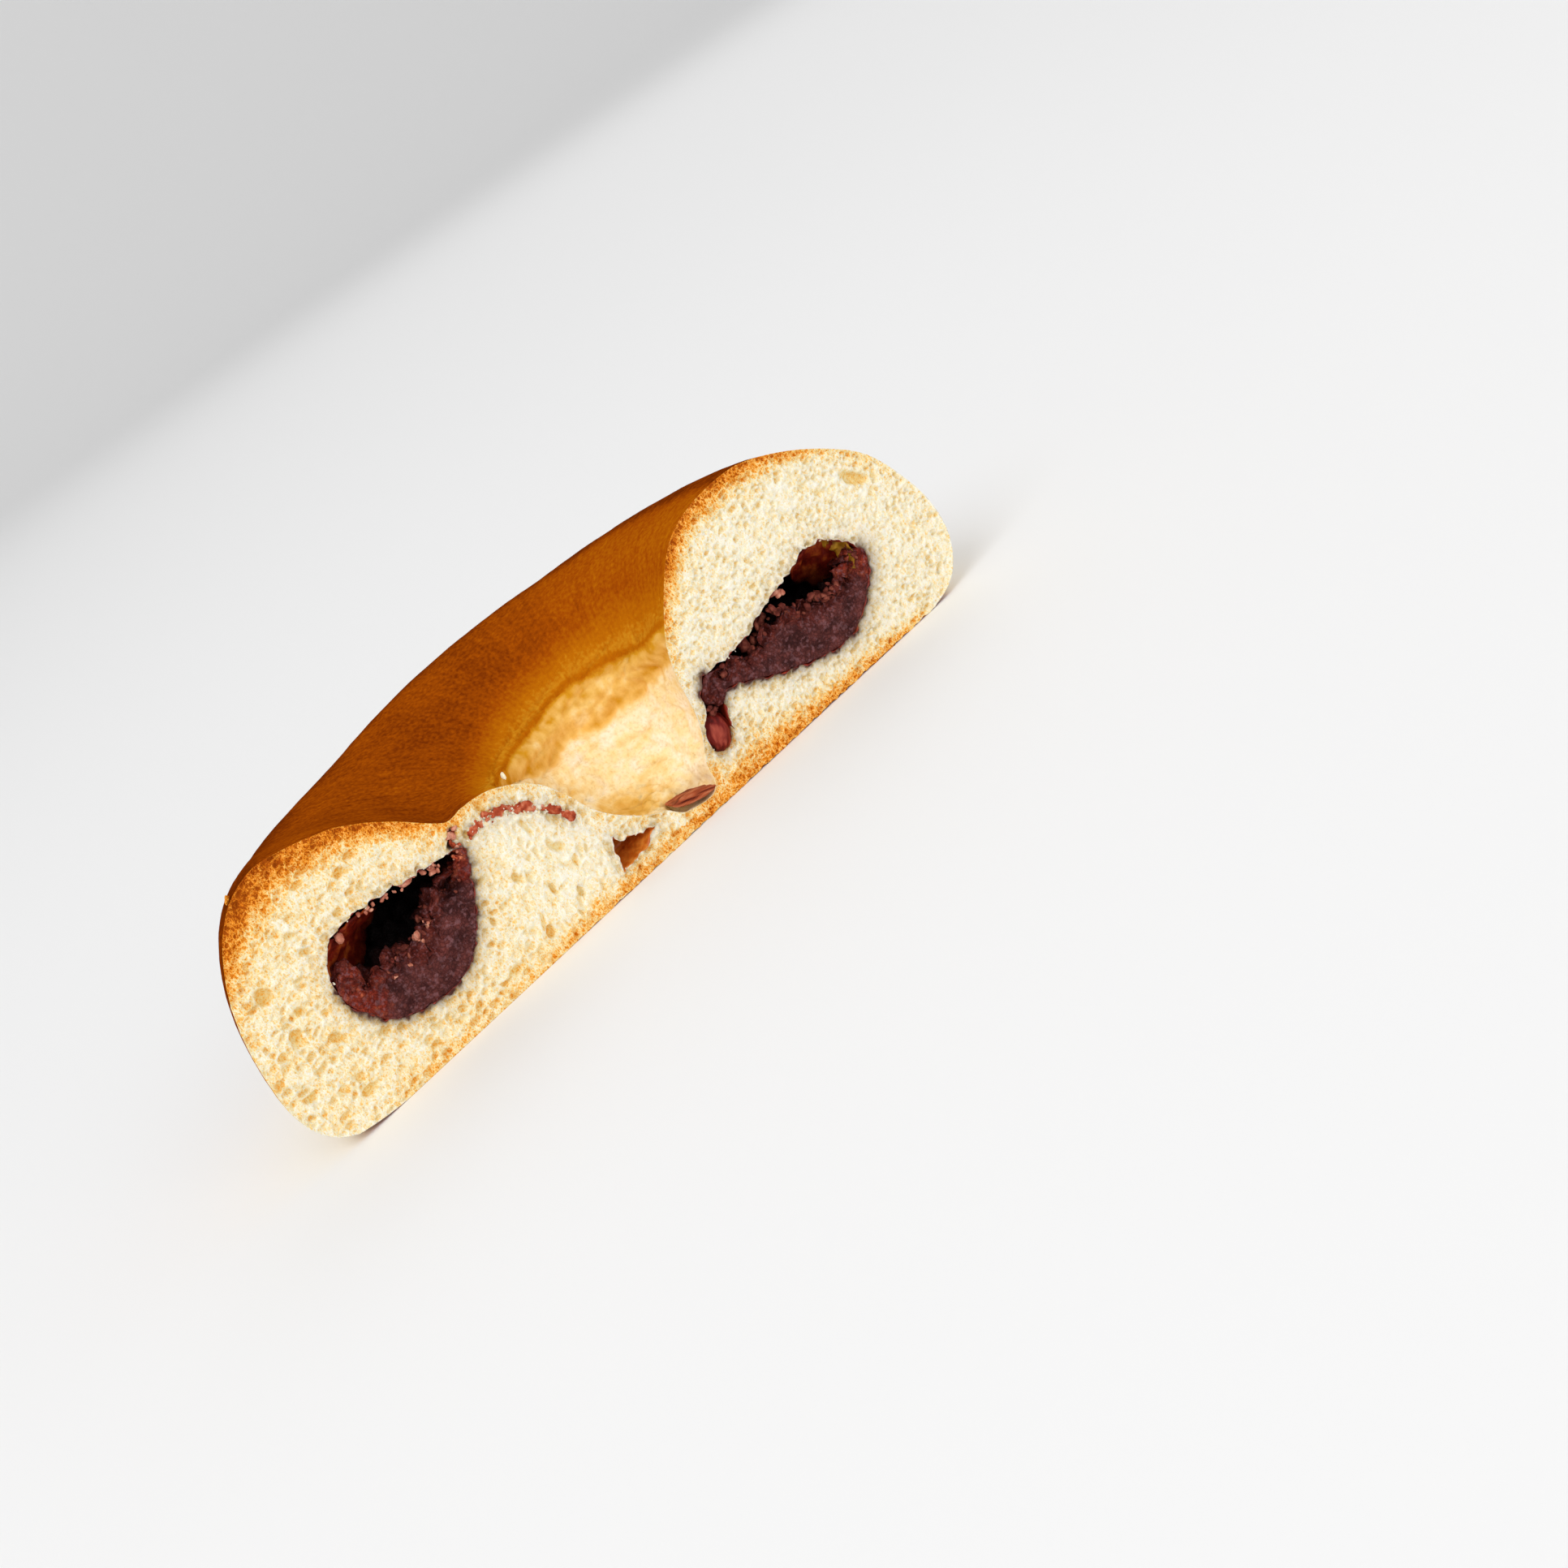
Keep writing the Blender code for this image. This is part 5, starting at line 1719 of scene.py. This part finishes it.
# %% Where the bits of paste lie
PASTE_BITS = (
    (((40.4, 14.6), (41.0, 13.2), (41.0, 11.8), (40.4, 10.4)), 12, 0.15, 0.4, 0.8, 0.3, 1.0),
    (((-44.6, 15.6), (-44.4, 13.6), (-43.9, 12.6), (-42.3, 12.6)), 12, 0.45, 0.4, 0.9, 0.4, 2.2),
    (((-43.6, 12.7), (-42.1, 11.6), (-39.9, 11.9), (-38.3, 13.2), (-34.6, 13.1)),
     26, 0.5, 0.3, 0.9, 0.3, 2.6),
    (((-34.6, 13.1), (-32.7, 13.9), (-30.9, 15.4), (-28.8, 14.8), (-25.6, 15.2)),
     24, 0.5, 0.3, 0.9, 0.3, 2.6),
    (((21.3, 12.5), (24.4, 13.3), (27.0, 14.5), (28.9, 12.5), (29.6, 11.0)),
     26, 0.5, 0.3, 0.9, 0.3, 2.6),
    (((29.6, 11.0), (32.2, 11.9), (33.8, 11.8), (37.4, 10.4)), 20, 0.45, 0.3, 0.9, 0.3, 2.6),
    (((15.0, 13.2), (17.5, 12.6), (20.0, 12.4)), 14, 0.4, 0.3, 0.7, 0.4, 2.0),
    (((11.5, 10.8), (12.0, 9.9), (12.8, 10.0)), 14, 0.15, 0.4, 0.7, 0.0, 0.9),
    (((21.0, 15.0), (21.4, 13.0), (21.7, 11.5)), 4, 0.15, 1.0, 1.4, 1.6, 2.6),
    (((24.8, 12.1), (25.5, 14.4)), 3, 0.15, 1.0, 1.4, 1.4, 2.6),
    (((32.0, 11.9), (34.5, 11.2), (37.6, 10.4)), 12, 0.2, 0.5, 1.0, 0.2, 1.2),
    (((26.6, 14.8), (28.0, 13.3), (29.6, 11.6)), 8, 0.2, 0.5, 0.9, 0.2, 1.0),
)
PINK_BITS = (
    (((-33.4, 19.6), (-30.5, 19.5), (-28.2, 18.8), (-27.6, 18.2)), 20, 0.25, 0.3, 0.75, 0.0, 0.6),
    (((-38.5, 20.3), (-33.4, 19.7)), 14, 0.15, 0.25, 0.5, 0.0, 0.5),
    (((-25.4, 17.2), (-24.6, 18.6), (-24.3, 20.0), (-23.6, 20.8)), 16, 0.45, 0.3, 0.65, 0.0, 0.4),
    (((-25.0, 17.0), (-25.2, 15.6)), 4, 0.15, 0.4, 0.55, 0.3, 0.9),
    (((-41.9, 19.9), (-41.3, 19.2)), 3, 0.1, 0.5, 0.8, 0.2, 0.6),
    (((-35.0, 14.2), (-34.6, 13.3), (-34.8, 12.2)), 9, 0.16, 0.45, 0.75, 0.3, 0.9),
    (((-37.3, 11.9), (-37.1, 11.6)), 2, 0.1, 0.3, 0.4, 0.1, 0.5),
    (((-39.8, 12.0), (-39.4, 11.8)), 2, 0.1, 0.3, 0.45, 0.1, 0.5),
    (((-33.2, 15.4), (-32.7, 13.4)), 5, 0.15, 0.2, 0.4, 0.1, 0.5),
    (((28.1, 16.2), (29.2, 15.5)), 3, 0.15, 0.5, 0.8, 0.3, 0.8),
    (((-22.0, 19.0), (-20.2, 19.4), (-17.8, 18.7), (-15.0, 17.0), (-12.8, 14.8)),
     34, 0.35, 0.2, 0.45, 0.0, 0.3),
)
STREAK_BITS = (
    (((-22.6, 18.6), (-20.2, 19.2), (-17.8, 18.5), (-15.0, 16.8), (-12.6, 14.6)),
     40, 0.4, 0.25, 0.55, 0.0, 0.4),
    (((-23.8, 20.4), (-24.6, 18.8), (-25.4, 17.0)), 10, 0.4, 0.3, 0.6, 0.1, 0.6),
)
print("bits of paste:", sum(row[1] for row in PASTE_BITS + PINK_BITS + STREAK_BITS))

# %% [markdown]
# A few bits are crumb: one on the hump, a tuft of crust at the left end, some in the streak, and
# some torn from the rim of the tunnel where no paste lies against it.

# %% Where the crumbs lie
CRUMB_BITS = (
    (((-14.8, 21.4), (-14.7, 21.3)), 1, 0.0, 0.55, 0.6, 0.2, 0.3),
    (((-48.9, 31.5), (-48.3, 31.7)), 5, 0.2, 0.25, 0.45, 0.0, 0.3),
    (((-22.6, 18.6), (-20.2, 19.2), (-17.8, 18.5), (-15.0, 16.8), (-12.6, 14.6)),
     36, 0.45, 0.15, 0.35, 0.0, 0.1),
)
RIM_CRUMBS = 24
RIM_SPREAD, RIM_DEPTH = 0.12, 0.25
RIM_SIZES = (0.12, 0.24)


def spots_along(runs):
    """A place in millimetres and a size for each bit of each run."""
    spots = []
    for line, count, spread, small, large, front, back in runs:
        for x, z in along_line(line, random.uniform(0.0, 1.0, count)):
            size = blend(small, large, random.uniform() ** 2)
            depth = random.uniform(max(front, size * 0.7), back + size * 0.7)
            place = x + random.normal(0.0, spread), depth, z + random.normal(0.0, spread)
            spots.append((*place, size))
    return spots


def rim_spot(place):
    """A spot beside a place on the rim, and a size for the crumb there."""
    aside = random.normal(0.0, RIM_SPREAD, 3) * np.array((1.0, 0.0, 1.0))
    return (*(place + aside + np.array((0.0, RIM_DEPTH, 0.0))), random.uniform(*RIM_SIZES))


free_rim = rim_middles[~rim_outer][beside_paste < 0.5]
rim_spots = [rim_spot(place) for place in free_rim[random.integers(0, len(free_rim), RIM_CRUMBS)]]
print("crumbs on the rim:", len(rim_spots))

# %% [markdown]
# Three bits are modelled: small balls that are chipped flat on several sides. Each copy of them
# will have its own size, turn and stretch.

# %% Model the bits
BIT_KINDS = 3
BIT_CHIPS = 7
CHIP_DISTANCES = (0.45, 0.85)


def broken_bit(seed):
    """One small lump about two millimetres across, chipped flat on several sides."""
    bpy.ops.mesh.primitive_uv_sphere_add(
        segments=8, ring_count=6, radius=MM, location=(0.0, 0.0, 0.0))
    bit = bpy.context.object
    edit_whole(bit)
    bpy.ops.transform.vertex_random(offset=0.06 * MM, seed=seed)
    bpy.ops.object.mode_set(mode="OBJECT")
    corners = points_of(bit) / MM
    chips = np.random.default_rng(seed)
    for _ in range(BIT_CHIPS):
        towards = chips.normal(size=3)
        towards /= np.linalg.norm(towards)
        beyond = np.maximum(corners @ towards - chips.uniform(*CHIP_DISTANCES), 0.0)
        corners -= 0.9 * beyond[:, None] * towards
    corners *= (1.0 + 0.3 * noise_at(corners, 0.7, seed))[:, None]
    set_points(bit, corners * MM)
    return bit


print("kinds of bits:", BIT_KINDS)

# %% [markdown]
# All copies of one kind of bit are joined into one piece. The dark ones and the pink ones get
# looks of their own, and the crumbs share the look of the crumb.

# %% Strew the bits
TURNS = (0.0, 6.28)
BIT_WIDTHS, BIT_HEIGHTS = (0.4, 0.9), (0.6, 1.0)
TUFT_X, TUFT_TINT, LOOSE_TINT = -46.0, 0.9, 0.15


def placed_copy(bit, x, y, z, size):
    """A copy of a bit at a spot, turned and stretched at random."""
    turn = Euler(random.uniform(*TURNS, 3)).to_matrix().to_4x4()
    width, height = (size * random.uniform(*shares) for shares in (BIT_WIDTHS, BIT_HEIGHTS))
    stretch = Matrix.Diagonal((size, width, height, 1.0))
    copy = bit.copy()
    copy.data = copy.data.copy()
    bpy.context.scene.collection.objects.link(copy)
    copy.matrix_world = Matrix.Translation(from_dimple(x, y, z)) @ turn @ stretch
    return copy


def strewn(name, spots, look):
    """Copies of the bits at all the spots, joined into one piece."""
    bits = [broken_bit(SEED + number) for number in range(BIT_KINDS)]
    copies = [placed_copy(bits[number % BIT_KINDS], *spot) for number, spot in enumerate(spots)]
    for bit in bits:
        bpy.data.objects.remove(bit, do_unlink=True)
    select_only(copies[0])
    for copy in copies:
        copy.select_set(True)
    bpy.ops.object.join()
    joined = bpy.context.object
    apply_placement(joined)
    joined.name = name
    smooth(joined)
    dress(joined, None, look)
    print(name, "has", len(copies), "bits and", triangles_of(joined), "triangles")
    return joined


chunk_look = small_look(
    "broken_paste", ((0.3, (70, 26, 22)), (0.52, (114, 52, 42)), (0.72, (160, 92, 72))),
    0.65, 0.1, 0.9, (0.3, 0.12))
pink_look = small_look(
    "pale_paste_bits", ((0.3, (160, 80, 60)), (0.55, (200, 130, 106)), (0.8, (230, 176, 148))),
    0.6, 0.1, 0.7)
strewn("paste_bits", spots_along(PASTE_BITS), chunk_look)
strewn("streak_bits", spots_along(STREAK_BITS), red_look)
strewn("pale_bits", spots_along(PINK_BITS), pink_look)
crumbs = strewn("torn_crumbs", spots_along(CRUMB_BITS) + rim_spots, crumb_look)
crumb_x = to_dimple(points_of(crumbs))[:, 0]
set_value(crumbs, "crust", np.where(crumb_x < TUFT_X, TUFT_TINT, LOOSE_TINT))

# %% [markdown]
# Films of soaked bread have come away from the tunnel's walls: a thin olive one in the top corner
# at the right, and a dark red one behind the free edge at each end. Each is a grid between two
# lines, the outer one by the cut and the inner one deeper in, and it gets a thickness. The red
# ones are painted nearly black towards the inner line, as the shade deep in the tunnel.

# %% The loose films
FILM_THICKNESS = 0.2
FILM_ROWS, FILM_COLUMNS = 12, 40
FILM_CURL, CURL_SIZE = 0.5, 1.2
OLIVE_OUTER = ((36.2, 18.6), (38.8, 18.2), (40.6, 16.7), (41.2, 14.6), (40.8, 12.4), (40.0, 11.3))
OLIVE_INNER = ((36.6, 17.6), (38.2, 16.9), (39.2, 15.8), (39.9, 14.3), (40.1, 12.6), (39.6, 11.4))
RIGHT_OUTER = ((32.3, 16.7), (36.1, 17.9), (39.3, 17.0), (41.2, 13.5), (41.2, 10.2), (39.5, 8.1))
RIGHT_INNER = ((34.4, 13.4), (36.5, 11.8), (37.9, 10.2), (39.2, 8.4), (40.1, 6.9), (40.6, 5.9))
LEFT_OUTER = (
    (-36.7, 20.1), (-39.6, 20.4), (-42.4, 20.2), (-45.0, 19.0), (-46.3, 16.3), (-46.1, 12.8),
)
LEFT_INNER = (
    (-35.0, 17.6), (-37.3, 16.5), (-38.7, 14.4), (-39.9, 12.3), (-39.8, 10.2), (-39.0, 8.6),
)


def hanging_film(name, outer, inner, front, back, look):
    """A thin sheet from an outer line near the cut to an inner line deeper in the bread."""
    bpy.ops.mesh.primitive_grid_add(x_subdivisions=FILM_COLUMNS, y_subdivisions=FILM_ROWS, size=1.0)
    film = bpy.context.object
    film.name = name
    shares = points_of(film)[:, :2] + 0.5
    along, inward = shares[:, 0], shares[:, 1]
    flat = blend(along_line(outer, along), along_line(inner, along), inward[:, None])
    places = np.stack((flat[:, 0], blend(front, back, inward), flat[:, 1]), axis=1)
    for axis in range(3):
        places[:, axis] += FILM_CURL * noise_at(places, CURL_SIZE, SEED + 40 + axis)
    set_points(film, places * MM + DIMPLE_PLACE)
    # How far in a place lies is kept for painted shade.
    set_value(film, "deep", inward)
    apply_modifier(film, "SOLIDIFY", thickness=FILM_THICKNESS * MM, offset=0.0)
    smooth(film)
    dress(film, None, look)
    print(name, "has", triangles_of(film), "triangles")


olive_look = small_look(
    "olive_film", ((0.3, (104, 62, 8)), (0.5, (146, 98, 18)), (0.75, (186, 140, 40))),
    0.5, 0.15, 1.0, (0.5, 0.08))
wet_look, tree, shader = new_look("red_film", roughness=0.5, specular=0.1)
wet_red = ramp(tree, grain(tree, 1.6, 4.0), (
    (0.35, (76, 9, 2)), (0.5, (112, 24, 8)), (0.68, (168, 76, 26))))
# Painted shade: the red turns nearly black towards the inner line.
feed(tree, shader.inputs["Base Color"], mixed(tree, read(tree, "deep"), wet_red, paint(38, 3, 1)))
bumps(tree, shader, grain(tree, 0.6), 0.12)
hanging_film("dried_film", OLIVE_OUTER, OLIVE_INNER, 0.5, 2.4, olive_look)
hanging_film("right_film", RIGHT_OUTER, RIGHT_INNER, 1.6, 6.5, wet_look)
hanging_film("left_film", LEFT_OUTER, LEFT_INNER, 0.6, 7.0, wet_look)
